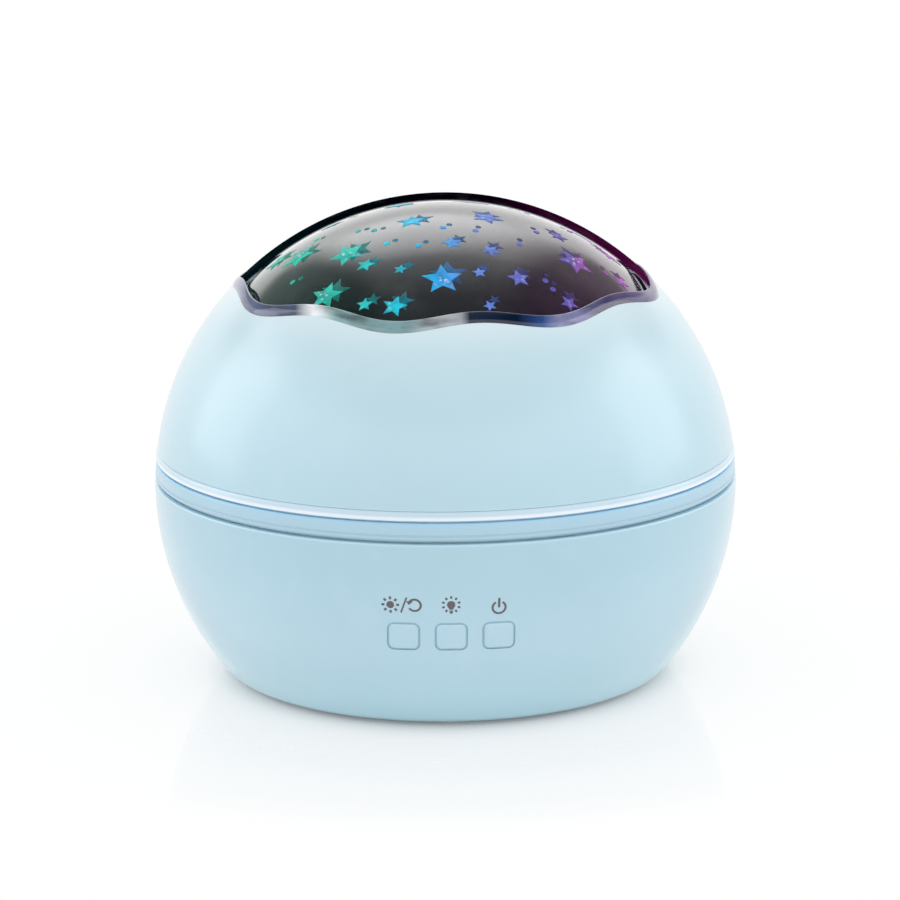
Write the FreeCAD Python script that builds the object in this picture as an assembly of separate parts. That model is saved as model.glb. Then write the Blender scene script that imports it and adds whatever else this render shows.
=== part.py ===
import FreeCAD, Part
import math
import os

# Star night light projector: a ball-shaped lamp in two blue shells.
#
# The lower shell holds the batteries, the boards, the buttons and a small motor. The motor turns a ring gear
# that carries a dark dome with star windows. A lift-off cover with a wavy opening and a clear cap stands over it.
#
# Units are millimetres. +Z is up, the surface that the lamp stands on is z = 0, the axis of the ball is the
# Z axis, and the buttons face -Y. Heights named "..._Z" are measured from the ball's centre, unless said.

V = FreeCAD.Vector

# ---------------------------------------------------------------- driving sizes
BALL_R = 65.0            # outside radius of both shells
WALL = 1.8               # wall of both shells
CENTRE_Z = 42.1          # the ball's centre above the surface that the lamp stands on
LOWER_LIFT = 1.2         # the lower shell's centre above the ball's centre, which makes it a little flatter
FOOT_DROP = 0.8          # how far the feet stand below the lower shell
FLOOR_EDGE_R = 5.0       # rounding between the ball and its flat underside

RIM_Z = 2.4              # top edge of the lower shell
BAND_GAP = 0.5           # shadow gap between the lower shell and the band
BAND_H = 4.0             # height of the band that shows
BAND_FLANGE = 1.0        # thickness of the band's inward flange
CREASE = 0.4             # shadow gap between the band and the cover
RIDGE_H = 2.1            # height of the cover's ridge
SLIDE_GAP = 0.2          # gap round a part that lifts out
RUN_GAP = 0.3            # gap between a turning part and a fixed one
FIT_GAP = 0.05           # gap between parts that are glued or clipped together

WAVES = 8                # waves round the cover's opening
WAVE_TURN = 8.1          # azimuth of a crest, in degrees from the front
WAVE_AMPLITUDE = 0.9     # how far the wave swings in plan
OPENING_R = 47.1         # middle radius of the cover's opening, in plan
LIP_W = 2.0              # width of the cap's bead, in plan
LIP_STEP = 1.1           # width of the rebate under the bead, in plan
LIP_PROUD = 0.35         # how far the bead stands above the shell
CAP_WALL = 1.2           # wall of the clear cap
REBATE_WALL = 0.9        # wall of the shell left under the bead

FILM_R = 62.3            # outside radius of the dark star dome
FILM_WALL = 0.8
FILM_LIFT = 0.6          # the star dome's centre above the ball's centre
LENS_WALL = 0.55         # wall of the clear dome under the dark one
STAR_PROUD = 0.1         # how far the clear stars stand above the dark dome
STAR_WAIST = 0.46        # inner radius of a star over its outer radius

GEAR_MODULE = 1.5
RING_TEETH = 72
PINION_TEETH = 12
GEAR_H = 2.55            # face width of both gears
PINION_ADDENDUM = 0.9    # tooth height above the pitch circle, in modules
RING_ADDENDUM = 0.6      # shorter, so that the ring's tips clear the small pinion's roots
DEDENDUM = 1.25
BACKLASH = 0.25          # how much thinner a tooth is than its gap at the pitch circle
RING_WALL = 3.8          # ring gear material outside its teeth
RING_FLANGE_W = 1.5      # the ring gear's outer flange, held down by the band
RING_FLANGE_H = 1.15

DECK_T = 1.6             # thickness of the deck that carries the lamp and the motor
DECK_TOP_Z = 1.0
RAIL_H = 0.2             # height of the rail that the ring gear runs on
SEAT_T = 1.3             # thickness of the star dome's seat
POST_R = 3.0             # the deck's long screw posts
POST_CIRCLE_R = 42.8
SCREWS = 4               # screws through the underside

LEDGE_R = 39.5           # clear opening in the floor of the lower shell
COVER_PLATE_R = 46.0     # the bottom cover
COVER_PLATE_T = 2.0
LEDGE_T = 1.8

CELL_R = 5.25            # AAA cells
CELL_L = 44.5
CELLS = 4
CELL_GAP = 0.1
CONTACT_ROOM = 3.0       # room for a contact at each end of the cells
BAY_WALL = 1.5

BUTTON_W = 6.1
BUTTON_H = 5.8
BUTTON_CORNER = 1.1
BUTTON_PITCH = 10.0
BUTTON_GAP = 0.4         # groove round each button
BUTTON_SLIT = 0.15       # gap between a button's shoulder and its window, under the groove
BUTTON_STEP = 0.5        # depth of the groove, where the shoulder starts
BUTTON_PROUD = 0.25
BUTTON_Z = -18.2         # height of the button row; the buttons are pressed straight back, along +Y
BUTTON_NAMES = ("rotate", "colour", "power")

MOTOR_R = 8.0
MOTOR_L = 12.0
GEARBOX_R = 12.0
GEARBOX_L = 8.3
SHAFT_R = 1.5

LED_BOARD_R = 13.0
LED_BOARD_Z = 7.5        # underside of the lamp board
BOARD_T = 1.6
SWITCH_BOARD_T = 1.2
SCREW_R = 1.3            # thread radius of every screw
HEAD_R = 2.4
HEAD_H = 1.3
LEAD_R = 0.6             # insulated wire

# ---------------------------------------------------------------- sizes worked out from those
INNER_R = BALL_R - WALL
FLOOR_Z = -(CENTRE_Z - FOOT_DROP)
BAND_Z0 = RIM_Z + BAND_GAP
BAND_Z1 = BAND_Z0 + BAND_H
RIDGE_Z0 = BAND_Z1 + CREASE
RIDGE_Z1 = RIDGE_Z0 + RIDGE_H
DECK_Z0 = DECK_TOP_Z - DECK_T
GEAR_Z0 = DECK_TOP_Z + RAIL_H + 0.5 * RUN_GAP
GEAR_Z1 = GEAR_Z0 + GEAR_H
RING_PITCH_R = GEAR_MODULE * RING_TEETH / 2
PINION_PITCH_R = GEAR_MODULE * PINION_TEETH / 2
MOTOR_X = RING_PITCH_R - PINION_PITCH_R
RING_ROOT_R = RING_PITCH_R + DEDENDUM * GEAR_MODULE
RING_OUT_R = RING_ROOT_R + RING_WALL
SEAT_Z1 = GEAR_Z1 + SEAT_T
FILM_INNER_R = FILM_R - FILM_WALL
LENS_R = FILM_INNER_R - FIT_GAP
LEDGE_Z0 = FLOOR_Z + COVER_PLATE_T
LEDGE_Z1 = LEDGE_Z0 + LEDGE_T
BAY_X = CELLS * (CELL_R + CELL_GAP)
BAY_Y = CELL_L / 2 + CONTACT_ROOM
DOOR_T = 1.1
CELL_Z = FLOOR_Z + DOOR_T + SLIDE_GAP + CELL_R
BAY_ROOF_Z0 = CELL_Z + CELL_R + RUN_GAP
BAY_ROOF_Z1 = BAY_ROOF_Z0 + BAY_WALL
BOARD_Z0 = BAY_ROOF_Z1 + 3.3
BOARD_Z1 = BOARD_Z0 + BOARD_T
SPIGOT_R1 = math.sqrt(BALL_R ** 2 - BAND_Z1 ** 2) - 1.1
SPIGOT_R0 = FILM_R + 0.25
FRONT_Y = math.sqrt(BALL_R ** 2 - (BUTTON_Z - LOWER_LIFT) ** 2)


# ---------------------------------------------------------------- building blocks
def up(z):
    """Height above the standing surface of a height measured from the ball's centre."""
    return CENTRE_Z + z


def ball(radius, lift=0.0):
    return Part.makeSphere(radius, V(0, 0, up(lift)))


def disc(radius, z0, z1, x=0.0, y=0.0):
    """Upright cylinder between two heights."""
    return Part.makeCylinder(radius, z1 - z0, V(x, y, up(z0)))


def ring(r_out, r_in, z0, z1, x=0.0, y=0.0):
    return disc(r_out, z0, z1, x, y).cut(disc(r_in, z0 - 1, z1 + 1, x, y))


def block(x0, x1, y0, y1, z0, z1):
    return Part.makeBox(x1 - x0, y1 - y0, z1 - z0, V(x0, y0, up(z0)))


def fuse(first, *others):
    return first.multiFuse(list(others)).removeSplitter()


def at_azimuth(radius, degrees):
    """Plan position at an azimuth counted from the front, -Y, towards +X."""
    a = math.radians(degrees)
    return radius * math.sin(a), -radius * math.cos(a)


def corner_places(radius, count=SCREWS, first=45.0):
    return [at_azimuth(radius, first + k * 360.0 / count) for k in range(count)]


def wave_prism(radius, z0=20.0, z1=90.0):
    """Upright prism on the wavy closed curve r = radius - amplitude * cos(waves * (azimuth - turn))."""
    points = []
    per_wave = 8
    for k in range(WAVES * per_wave):
        azimuth = k * 360.0 / (WAVES * per_wave)
        swing = WAVE_AMPLITUDE * math.cos(math.radians(WAVES * (azimuth - WAVE_TURN)))
        x, y = at_azimuth(radius - swing, azimuth)
        points.append(V(x, y, up(z0)))
    curve = Part.BSplineCurve()
    curve.interpolate(Points=points, PeriodicFlag=True)
    return Part.Face(Part.Wire(curve.toShape())).extrude(V(0, 0, z1 - z0))


def screw(x, y, z_seat, length, down=True):
    """Pan-head screw with its head's underside at z_seat, pointing down or up."""
    way = -1 if down else 1
    head = Part.makeCylinder(HEAD_R, HEAD_H, V(x, y, up(z_seat)), V(0, 0, -way))
    shank = Part.makeCylinder(SCREW_R, length, V(x, y, up(z_seat)), V(0, 0, way))
    slot = Part.makeBox(0.6, 3.2, 1.2, V(x - 0.3, y - 1.6, up(z_seat - way * HEAD_H) - 0.6))
    cross = Part.makeBox(3.2, 0.6, 1.2, V(x - 1.6, y - 0.3, up(z_seat - way * HEAD_H) - 0.6))
    return fuse(head, shank).cut(slot).cut(cross)


def rounded_plate(width, height, corner, depth):
    """Plate with rounded corners, centred on the origin in XY, from z = 0 to z = depth."""
    plate = Part.makeBox(width, height, depth, V(-width / 2, -height / 2, 0))
    uprights = [e for e in plate.Edges if abs(e.tangentAt(e.FirstParameter).z) > 0.9]
    return plate.makeFillet(corner, uprights)


def on_front(shape, u=0.0, v=0.0, depth=0.0):
    """Moves a shape drawn in XY, +Z outwards, to the button row: u across, v up, depth inwards from the shell."""
    turn = FreeCAD.Rotation(V(1, 0, 0), 90)
    moved = shape.copy()
    moved.Placement = FreeCAD.Placement(V(u, depth - FRONT_Y, up(BUTTON_Z + v)), turn).multiply(moved.Placement)
    return moved


def lead(points, radius=LEAD_R):
    """Insulated wire along straight runs joined by tangent arcs that are as large as the runs allow."""
    points = [V(*p) for p in points]
    edges, start, bends = [], points[0], []
    for before, corner, after in zip(points, points[1:], points[2:]):
        into, out = (corner - before), (after - corner)
        share = 0.45 * min(into.Length, out.Length)
        into.normalize()
        out.normalize()
        first, last = corner - into * share, corner + out * share
        middle_way = (out - into).normalize()
        half_turn = into.getAngle(out) / 2
        radius_of_bend = share / math.tan(half_turn)
        bends.append(round(radius_of_bend, 2))
        sagitta = radius_of_bend * (1 / math.cos(half_turn) - 1)
        edges.append(Part.LineSegment(start, first).toShape())
        edges.append(Part.Arc(first, corner + middle_way * sagitta, last).toShape())
        start = last
    edges.append(Part.LineSegment(start, points[-1]).toShape())
    print("bend radii of a lead", bends, "mm")
    path = Part.Wire(edges)
    end = Part.Wire(Part.Circle(points[0], points[1] - points[0], radius).toShape())
    return path.makePipeShell([end], True, False)


# ---------------------------------------------------------------- lower shell and underside
def base_shell():
    """Lower blue shell: a bowl with a flat ledge in its floor, button windows and the power inlet's window."""
    outside = ball(BALL_R, LOWER_LIFT).common(disc(BALL_R + 1, FLOOR_Z, RIM_Z))
    corner = [e for e in outside.Edges if abs(e.BoundBox.ZMax - up(FLOOR_Z)) < 0.01]
    outside = outside.makeFillet(FLOOR_EDGE_R, corner)
    inside = ball(INNER_R, LOWER_LIFT).common(disc(BALL_R, LEDGE_Z1, RIM_Z + 1))
    shell = outside.cut(inside)
    shell = shell.cut(disc(LEDGE_R, FLOOR_Z - 1, LEDGE_Z1 + 1))
    shell = shell.cut(disc(COVER_PLATE_R + SLIDE_GAP, FLOOR_Z - 1, LEDGE_Z0))
    for x, y in corner_places(POST_CIRCLE_R):
        shell = shell.cut(disc(SCREW_R + 0.3, LEDGE_Z0 - 1, LEDGE_Z1 + 1, x, y))
    bosses = [on_front(Part.makeCylinder(SWITCH_BOSS_R, SWITCH_FACE - SWITCH_BOSS_TOP), u, 0, SWITCH_FACE)
              for u in (-SWITCH_BOSS_U, SWITCH_BOSS_U)]
    shell = fuse(shell, *[b.common(ball(BALL_R - WALL / 2, LOWER_LIFT)) for b in bosses])
    for u in (-SWITCH_BOSS_U, SWITCH_BOSS_U):
        pilot = Part.makeCylinder(SCREW_R, SWITCH_SCREW_L + 0.5)
        shell = shell.cut(on_front(pilot, u, 0, SWITCH_FACE))
    for k in range(3):
        window = rounded_plate(BUTTON_W + 2 * BUTTON_GAP, BUTTON_H + 2 * BUTTON_GAP,
                               BUTTON_CORNER + BUTTON_GAP, 12.0)
        shell = shell.cut(on_front(window, (k - 1) * BUTTON_PITCH, 0, 8.0))
    return shell.cut(inlet_window())


def inlet_window():
    """Cut-out for the power plug's moulding, through the back of the lower shell."""
    window = rounded_plate(INLET_W, INLET_H, INLET_CORNER, 16.0)
    turn = FreeCAD.Rotation(V(1, 0, 0), -90)
    window.Placement = FreeCAD.Placement(V(0, BALL_R - 13.0, up(SOCKET_Z + SOCKET_H / 2)), turn)
    return window


def bottom_cover():
    """Round plate under the lamp, with the battery bay and the main board's standoffs on its upper side."""
    plate = disc(COVER_PLATE_R, FLOOR_Z, LEDGE_Z0)
    bay = block(-BAY_X - BAY_WALL, BAY_X + BAY_WALL, -BAY_Y - BAY_WALL, BAY_Y + BAY_WALL,
                LEDGE_Z0, BAY_ROOF_Z1)
    door_boss = disc(DOOR_BOSS_R, LEDGE_Z0, LEDGE_Z0 + DOOR_SCREW_L, 0, DOOR_SCREW_Y)
    standoffs = []
    for x, y in BOARD_FIXINGS:
        foot_z = BAY_ROOF_Z1 if y < BAY_Y else LEDGE_Z0
        standoffs.append(disc(STANDOFF_R, foot_z, BOARD_Z0, x, y))
    cover = fuse(plate, bay, door_boss, *standoffs)
    cover = cover.cut(block(-BAY_X, BAY_X, -BAY_Y, BAY_Y, FLOOR_Z - 1, BAY_ROOF_Z0))
    cover = cover.cut(door_plate(SLIDE_GAP))
    for x, y in BOARD_FIXINGS:
        cover = cover.cut(disc(SCREW_R, BOARD_Z0 - BOARD_SCREW_L - 0.5, BOARD_Z0 + 1, x, y))
    for x, y in corner_places(POST_CIRCLE_R):
        cover = cover.cut(disc(SCREW_R + 0.3, FLOOR_Z - 1, LEDGE_Z0 + 1, x, y))
        cover = cover.cut(disc(HEAD_R + 0.4, FLOOR_Z - 1, COVER_SCREW_SEAT, x, y))
    for x, y in corner_places(FOOT_CIRCLE_R, first=0.0):
        cover = cover.cut(disc(FOOT_R + FIT_GAP, FLOOR_Z - 1, FLOOR_Z + FOOT_RECESS, x, y))
    return cover.cut(disc(SCREW_R, FLOOR_Z - 1, LEDGE_Z0 + DOOR_SCREW_L - 0.8, 0, DOOR_SCREW_Y))


def door_plate(grow=0.0):
    """Outline of the battery door; grown, it is the recess that the door lies in."""
    thick = DOOR_T + (FIT_GAP if grow else 0.0)
    plate = rounded_plate(2 * DOOR_X + 2 * grow, DOOR_Y1 - DOOR_Y0 + 2 * grow, DOOR_CORNER, thick)
    plate.translate(V(0, (DOOR_Y0 + DOOR_Y1) / 2, up(FLOOR_Z)))
    return plate


def battery_door():
    """Flat door flush with the underside, with a grip dimple row and one screw, as child care goods need."""
    door = door_plate()
    for k in range(5):
        groove = block(-6, 6, DOOR_Y1 - 4.2 - 1.6 * k, DOOR_Y1 - 3.4 - 1.6 * k, FLOOR_Z - 1, FLOOR_Z + 0.4)
        door = door.cut(groove)
    return door.cut(disc(SCREW_R + 0.2, FLOOR_Z - 1, FLOOR_Z + DOOR_T + 1, 0, DOOR_SCREW_Y))


def battery_door_screw():
    """Captive screw of the battery door; its thin head lies within the feet's height."""
    head = Part.makeCylinder(HEAD_R, DOOR_HEAD_H, V(0, DOOR_SCREW_Y, up(FLOOR_Z) - DOOR_HEAD_H))
    shank = Part.makeCylinder(SCREW_R - 0.05, DOOR_T + DOOR_SCREW_L - 1.5, V(0, DOOR_SCREW_Y, up(FLOOR_Z)))
    slot = Part.makeBox(3.6, 0.7, 0.6, V(-1.8, DOOR_SCREW_Y - 0.35, up(FLOOR_Z) - DOOR_HEAD_H - 0.3))
    return fuse(head, shank).cut(slot)


def cell_places():
    return [(-BAY_X + (2 * k + 1) * (CELL_R + CELL_GAP), 1 if k % 2 else -1) for k in range(CELLS)]


def battery_cells():
    """Four AAA cells side by side, each with its positive nub, turned end for end in pairs."""
    cells = []
    for x, way in cell_places():
        body = Part.makeCylinder(CELL_R, CELL_L - CELL_NUB, V(x, -way * CELL_L / 2, up(CELL_Z)), V(0, way, 0))
        nub = Part.makeCylinder(2.7, CELL_NUB, V(x, way * (CELL_L / 2 - CELL_NUB), up(CELL_Z)), V(0, way, 0))
        cells.append(fuse(body, nub))
    return Part.makeCompound(cells)


def battery_contacts():
    """A flat contact plate at each positive end and a coil spring on a plate at each negative end."""
    pieces = []
    turns = 3
    reach = CONTACT_ROOM - PLATE_T - FIT_GAP
    for x, way in cell_places():
        for side in (way, -way):
            y = side * (BAY_Y - PLATE_T / 2)
            pieces.append(block(x - PLATE_W / 2, x + PLATE_W / 2, y - PLATE_T / 2, y + PLATE_T / 2,
                                CELL_Z - PLATE_W / 2, CELL_Z + PLATE_W / 2))
        wire_r = 0.25
        height = reach - 2 * wire_r - FIT_GAP
        helix = Part.makeHelix(height / turns, height, SPRING_R)
        section = Part.Wire(Part.Circle(V(SPRING_R, 0, 0), V(0, 1, 0), wire_r).toShape())
        coil = Part.Wire(helix).makePipeShell([section], True, True)
        coil.Placement = FreeCAD.Placement(
            V(x, -way * (BAY_Y - PLATE_T - wire_r - FIT_GAP / 2), up(CELL_Z)),
            FreeCAD.Rotation(V(0, 0, 1), V(0, way, 0)))
        pieces.append(coil)
    return Part.makeCompound(pieces)


def cover_screws():
    """Four long screws through the bottom cover and the lower shell into the deck's posts."""
    return Part.makeCompound([screw(x, y, COVER_SCREW_SEAT, COVER_SCREW_L, down=False)
                              for x, y in corner_places(POST_CIRCLE_R)])


def rubber_feet():
    feet = []
    for x, y in corner_places(FOOT_CIRCLE_R, first=0.0):
        foot = disc(FOOT_R, -CENTRE_Z, FLOOR_Z + FOOT_RECESS, x, y)
        rim = [e for e in foot.Edges if e.BoundBox.ZMax < 0.01 and e.BoundBox.XLength > 1]
        feet.append(foot.makeFillet(0.4, rim))
    return Part.makeCompound(feet)


# ---------------------------------------------------------------- band, deck and drive
def band_ring():
    """Pale band at the ball's middle: a wall, an inward flange over the ring gear, and a skirt in the shell."""
    wall = ball(BALL_R).common(ring(BALL_R + 1, SPIGOT_R1 + SLIDE_GAP, BAND_Z0, BAND_Z1))
    outer = [e for e in wall.Edges if e.BoundBox.XLength > 2 * (SPIGOT_R1 + 0.5)
             and e.BoundBox.ZLength < 0.01]
    wall = wall.makeFillet(BAND_EDGE_R, outer)
    flange = ring(SPIGOT_R1 + SLIDE_GAP + 0.2, RING_OUT_R + RUN_GAP + 0.1, BAND_Z0, BAND_Z0 + BAND_FLANGE)
    skirt = ring(SKIRT_R1, SKIRT_R0, SKIRT_Z0, BAND_Z0 + 0.2)
    return fuse(wall, flange, skirt)


def chassis_deck():
    """Deck over the lower shell, with the ring gear's rail and four long screw posts down to the floor."""
    deck = disc(SKIRT_R0 - 0.4, DECK_Z0, DECK_TOP_Z)
    rail = ring(RING_ROOT_R + 2.8, RING_ROOT_R + 0.6, DECK_TOP_Z - 0.1, DECK_TOP_Z + RAIL_H)
    posts = [disc(POST_R, LEDGE_Z1, DECK_Z0 + 0.1, x, y) for x, y in corner_places(POST_CIRCLE_R)]
    deck = fuse(deck, rail, *posts)
    for x, y in corner_places(POST_CIRCLE_R):
        deck = deck.cut(disc(SCREW_R, LEDGE_Z1 - 1, LEDGE_Z1 + COVER_SCREW_L, x, y))
    deck = deck.cut(disc(SHAFT_R + 1.9, DECK_Z0 - 1, DECK_TOP_Z + 1, MOTOR_X, 0))
    deck = deck.cut(disc(LEAD_HOLE_R, DECK_Z0 - 1, DECK_TOP_Z + 1))
    for y in (-MOTOR_EAR_Y, MOTOR_EAR_Y):
        deck = deck.cut(disc(SCREW_R + 0.2, DECK_Z0 - 1, DECK_TOP_Z + 1, MOTOR_X, y))
    for x, y in corner_places(POST_SCREW_R, 3, 0.0):
        deck = deck.cut(disc(SCREW_R, DECK_Z0 - 1, DECK_TOP_Z + 1, x, y))
    return deck


def involute_gear(teeth, tip_r, root_r, thin, z0, z1):
    """Spur gear prism: each flank is an involute of the base circle, thinned by half of thin at the pitch circle."""
    pressure = math.radians(20.0)
    pitch_r = GEAR_MODULE * teeth / 2
    base_r = pitch_r * math.cos(pressure)
    inv = math.tan(pressure) - pressure
    half_tooth = math.pi / (2 * teeth) - thin / (2 * pitch_r)
    steps = 5
    low_r = max(root_r, base_r)
    flank = []
    for k in range(steps + 1):
        r = low_r + (tip_r - low_r) * k / steps
        roll = math.acos(min(1.0, base_r / r))
        flank.append((r, half_tooth + inv - (math.tan(roll) - roll)))
    if root_r < base_r:
        flank.insert(0, (root_r, flank[0][1]))
    outline = []
    for t in range(teeth):
        middle = 2 * math.pi * t / teeth
        side = [(r, middle - a) for r, a in flank] + [(r, middle + a) for r, a in reversed(flank)]
        outline += [V(r * math.cos(a), r * math.sin(a), up(z0)) for r, a in side]
    outline.append(outline[0])
    return Part.Face(Part.makePolygon(outline)).extrude(V(0, 0, z1 - z0))


def ring_gear():
    """Turning ring with internal teeth; its low outer flange runs under the band's flange."""
    body = fuse(disc(RING_OUT_R, GEAR_Z0, GEAR_Z1),
                disc(RING_OUT_R + RING_FLANGE_W, GEAR_Z0, GEAR_Z0 + RING_FLANGE_H))
    gaps = involute_gear(RING_TEETH, RING_ROOT_R, RING_PITCH_R - RING_ADDENDUM * GEAR_MODULE, -BACKLASH / 2,
                         GEAR_Z0 - 1, GEAR_Z1 + 1)
    body = body.cut(gaps)
    for x, y in corner_places(PEG_CIRCLE_R, 3, 30.0):
        body = body.cut(disc(PEG_R + FIT_GAP, GEAR_Z1 - PEG_L - 0.2, GEAR_Z1 + 1, x, y))
    return body


def drive_pinion():
    """Pinion on the motor's shaft, with its hub; a gap of it faces the ring gear's tooth at rest."""
    gear = involute_gear(PINION_TEETH, PINION_PITCH_R + PINION_ADDENDUM * GEAR_MODULE,
                         PINION_PITCH_R - DEDENDUM * GEAR_MODULE, BACKLASH / 2, GEAR_Z0, GEAR_Z1)
    gear.translate(V(MOTOR_X, 0, 0))
    hub = disc(SHAFT_R + 1.4, GEAR_Z0 - 0.2, GEAR_Z1 + 0.9, MOTOR_X, 0)
    return fuse(gear, hub).cut(disc(SHAFT_R + 0.02, GEAR_Z0 - 1, GEAR_Z1 + 2, MOTOR_X, 0))


def motor_shaft():
    return disc(SHAFT_R, DECK_Z0 - 5.0, GEAR_Z1 + 0.7, MOTOR_X, 0)


def motor_gearbox():
    """Round gearbox under the deck, with two screw ears and the shaft's bore."""
    top = DECK_Z0 - FIT_GAP
    case = disc(GEARBOX_R, top - GEARBOX_L, top, MOTOR_X, 0)
    ears = block(MOTOR_X - 3.5, MOTOR_X + 3.5, -MOTOR_EAR_Y - 3.0, MOTOR_EAR_Y + 3.0, top - 2.0, top)
    boss = disc(SHAFT_R + 1.5, top - 0.1, DECK_TOP_Z - 0.2, MOTOR_X, 0)
    box = fuse(case, ears, boss)
    for y in (-MOTOR_EAR_Y, MOTOR_EAR_Y):
        box = box.cut(disc(SCREW_R, top - 3, top + 1, MOTOR_X, y))
    return box.cut(disc(SHAFT_R + 0.05, DECK_Z0 - 5.5, DECK_TOP_Z + 1, MOTOR_X, 0))


def motor_can():
    """Metal can of the motor with its two terminal tabs underneath."""
    top = DECK_Z0 - FIT_GAP - GEARBOX_L
    can = disc(MOTOR_R, top - MOTOR_L, top, MOTOR_X, 0)
    lower = [e for e in can.Edges if abs(e.BoundBox.ZMax - up(top - MOTOR_L)) < 0.01]
    can = can.makeFillet(1.0, lower)
    end_cap = disc(MOTOR_R * 0.55, top - MOTOR_L - 0.8, top - MOTOR_L + 0.1, MOTOR_X, 0)
    return fuse(can, end_cap)


def motor_screws():
    return Part.makeCompound([screw(MOTOR_X, y, DECK_TOP_Z, 3.4) for y in (-MOTOR_EAR_Y, MOTOR_EAR_Y)])


# ---------------------------------------------------------------- turning star dome
def film_seat():
    """Ring on top of the ring gear that carries the star dome, with three pegs down and a locating lip up."""
    inner_r = RING_ROOT_R + 0.6
    foot = ring(RING_OUT_R, inner_r, GEAR_Z1, GEAR_Z1 + RUN_GAP)
    shelf = ring(FILM_R - 0.3, inner_r, GEAR_Z1 + RUN_GAP, SEAT_Z1)
    lip_r = LENS_R - LENS_WALL - 0.7
    lip = ring(lip_r, lip_r - 1.0, SEAT_Z1 - 0.1, SEAT_Z1 + SEAT_LIP_H)
    pegs = [disc(PEG_R, GEAR_Z1 - PEG_L, GEAR_Z1 + 0.1, x, y) for x, y in corner_places(PEG_CIRCLE_R, 3, 30.0)]
    return fuse(foot, shelf, lip, *pegs)


def star_prism(azimuth, latitude, radius, turn, shrink=0.0):
    """Five-pointed star, or a round hole where radius is under the smallest star, pushed out from the dome's centre."""
    size = radius - shrink
    if radius < SMALLEST_STAR:
        shape = Part.makeCylinder(size, 4.0)
    else:
        corners = []
        for k in range(11):
            r = size if k % 2 == 0 else size * STAR_WAIST
            a = math.radians(turn + 36.0 * k + 90.0)
            corners.append(V(r * math.cos(a), r * math.sin(a), 0))
        shape = Part.Face(Part.makePolygon(corners)).extrude(V(0, 0, 4.0))
    tilt = FreeCAD.Rotation(V(1, 0, 0), 90 - latitude)
    spin = FreeCAD.Rotation(V(0, 0, 1), azimuth)
    way = spin.multiply(tilt)
    start = V(0, 0, up(FILM_LIFT)) + way.multVec(V(0, 0, LENS_R - LENS_WALL / 2))
    shape.Placement = FreeCAD.Placement(start, way)
    return shape


# The film's drawing over half of the dome, which it repeats over the other half: azimuth from the front and
# latitude in degrees, outer radius in millimetres, and turn in degrees.
HALF_SKY = (
    (-74, 58, 4.6, 20), (-47, 62.5, 4.4, -12), (-40.5, 50.5, 4.0, 10), (-33.5, 60, 2.2, 5),
    (-32, 77.5, 3.4, 30), (-25.5, 49.5, 1.9, 12), (-18, 59.5, 1.5, 0), (-16, 49.5, 2.9, -8),
    (-1.5, 57, 4.5, 4), (4, 68.5, 2.3, 10), (13, 49.5, 1.5, 20), (12.5, 58.5, 1.6, 0),
    (22, 65, 2.2, 20), (26.5, 56, 2.6, -6), (39, 48, 2.2, 14), (47, 78, 3.6, 5),
    (57.5, 57.5, 4.4, -14), (71, 49, 2.4, 8), (72, 65, 2.4, 0), (92, 54, 3.6, 16),
)
HALF_DOTS = (
    (-62, 70), (-59.5, 52), (-50.5, 71.5), (-32, 67.5), (-14, 67.5), (-1, 75), (21.5, 73),
    (36, 54.5), (36.5, 52), (39.5, 66), (62, 68.5), (67.5, 52.5), (97, 63),
)
LOW_ROWS = ((39.0, 14, 2.6, 3.0), (29.0, 12, 4.0, 14.0), (19.5, 14, 2.4, 0.0))
SMALLEST_STAR = 1.4
DOT_R = 0.7


def stars(shrink=0.0):
    """Every star and dot: the upper sky, drawn once for each half, and plain rows lower down."""
    made = []
    for half in (0.0, 180.0):
        made += [star_prism(a + half, lat, r, turn, shrink) for a, lat, r, turn in HALF_SKY]
        made += [star_prism(a + half, lat, DOT_R, 0, shrink) for a, lat in HALF_DOTS]
    for lat, count, radius, first in LOW_ROWS:
        for k in range(count):
            size = radius if k % 2 == 0 else radius * 0.62
            made.append(star_prism(first + k * 360.0 / count, lat, size, 17.0 * k, shrink))
    return made


def dome_cap(r_out, r_in):
    """Spherical dome standing on the seat."""
    return ball(r_out, FILM_LIFT).cut(ball(r_in, FILM_LIFT)).common(disc(BALL_R, SEAT_Z1, BALL_R + 5))


def film_dome():
    """Dark dome with the star windows cut through it."""
    return dome_cap(FILM_R, FILM_INNER_R).cut(Part.makeCompound(stars()))


def star_lens():
    """Clear dome close under the dark one, with raised stars that fill its windows."""
    limit = ball(FILM_R + STAR_PROUD, FILM_LIFT)
    raised = [s.common(limit) for s in stars(STAR_SHRINK)]
    return fuse(dome_cap(LENS_R, LENS_R - LENS_WALL), *raised)


# ---------------------------------------------------------------- lift-off cover
def wave_shell():
    """Upper blue shell with the wavy opening; a rebate round the opening takes the clear cap's bead."""
    shell = ball(BALL_R).cut(ball(INNER_R)).common(disc(BALL_R + 1, RIDGE_Z1, BALL_R + 5))
    shell = shell.cut(wave_prism(OPENING_R - LIP_STEP))
    rebate = wave_prism(OPENING_R).cut(ball(INNER_R + REBATE_WALL))
    groove = ring(TONGUE_R + TONGUE_W + FIT_GAP, TONGUE_R - FIT_GAP, RIDGE_Z1 - 1, RIDGE_Z1 + TONGUE_H + FIT_GAP)
    return shell.cut(rebate).cut(groove)


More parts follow.
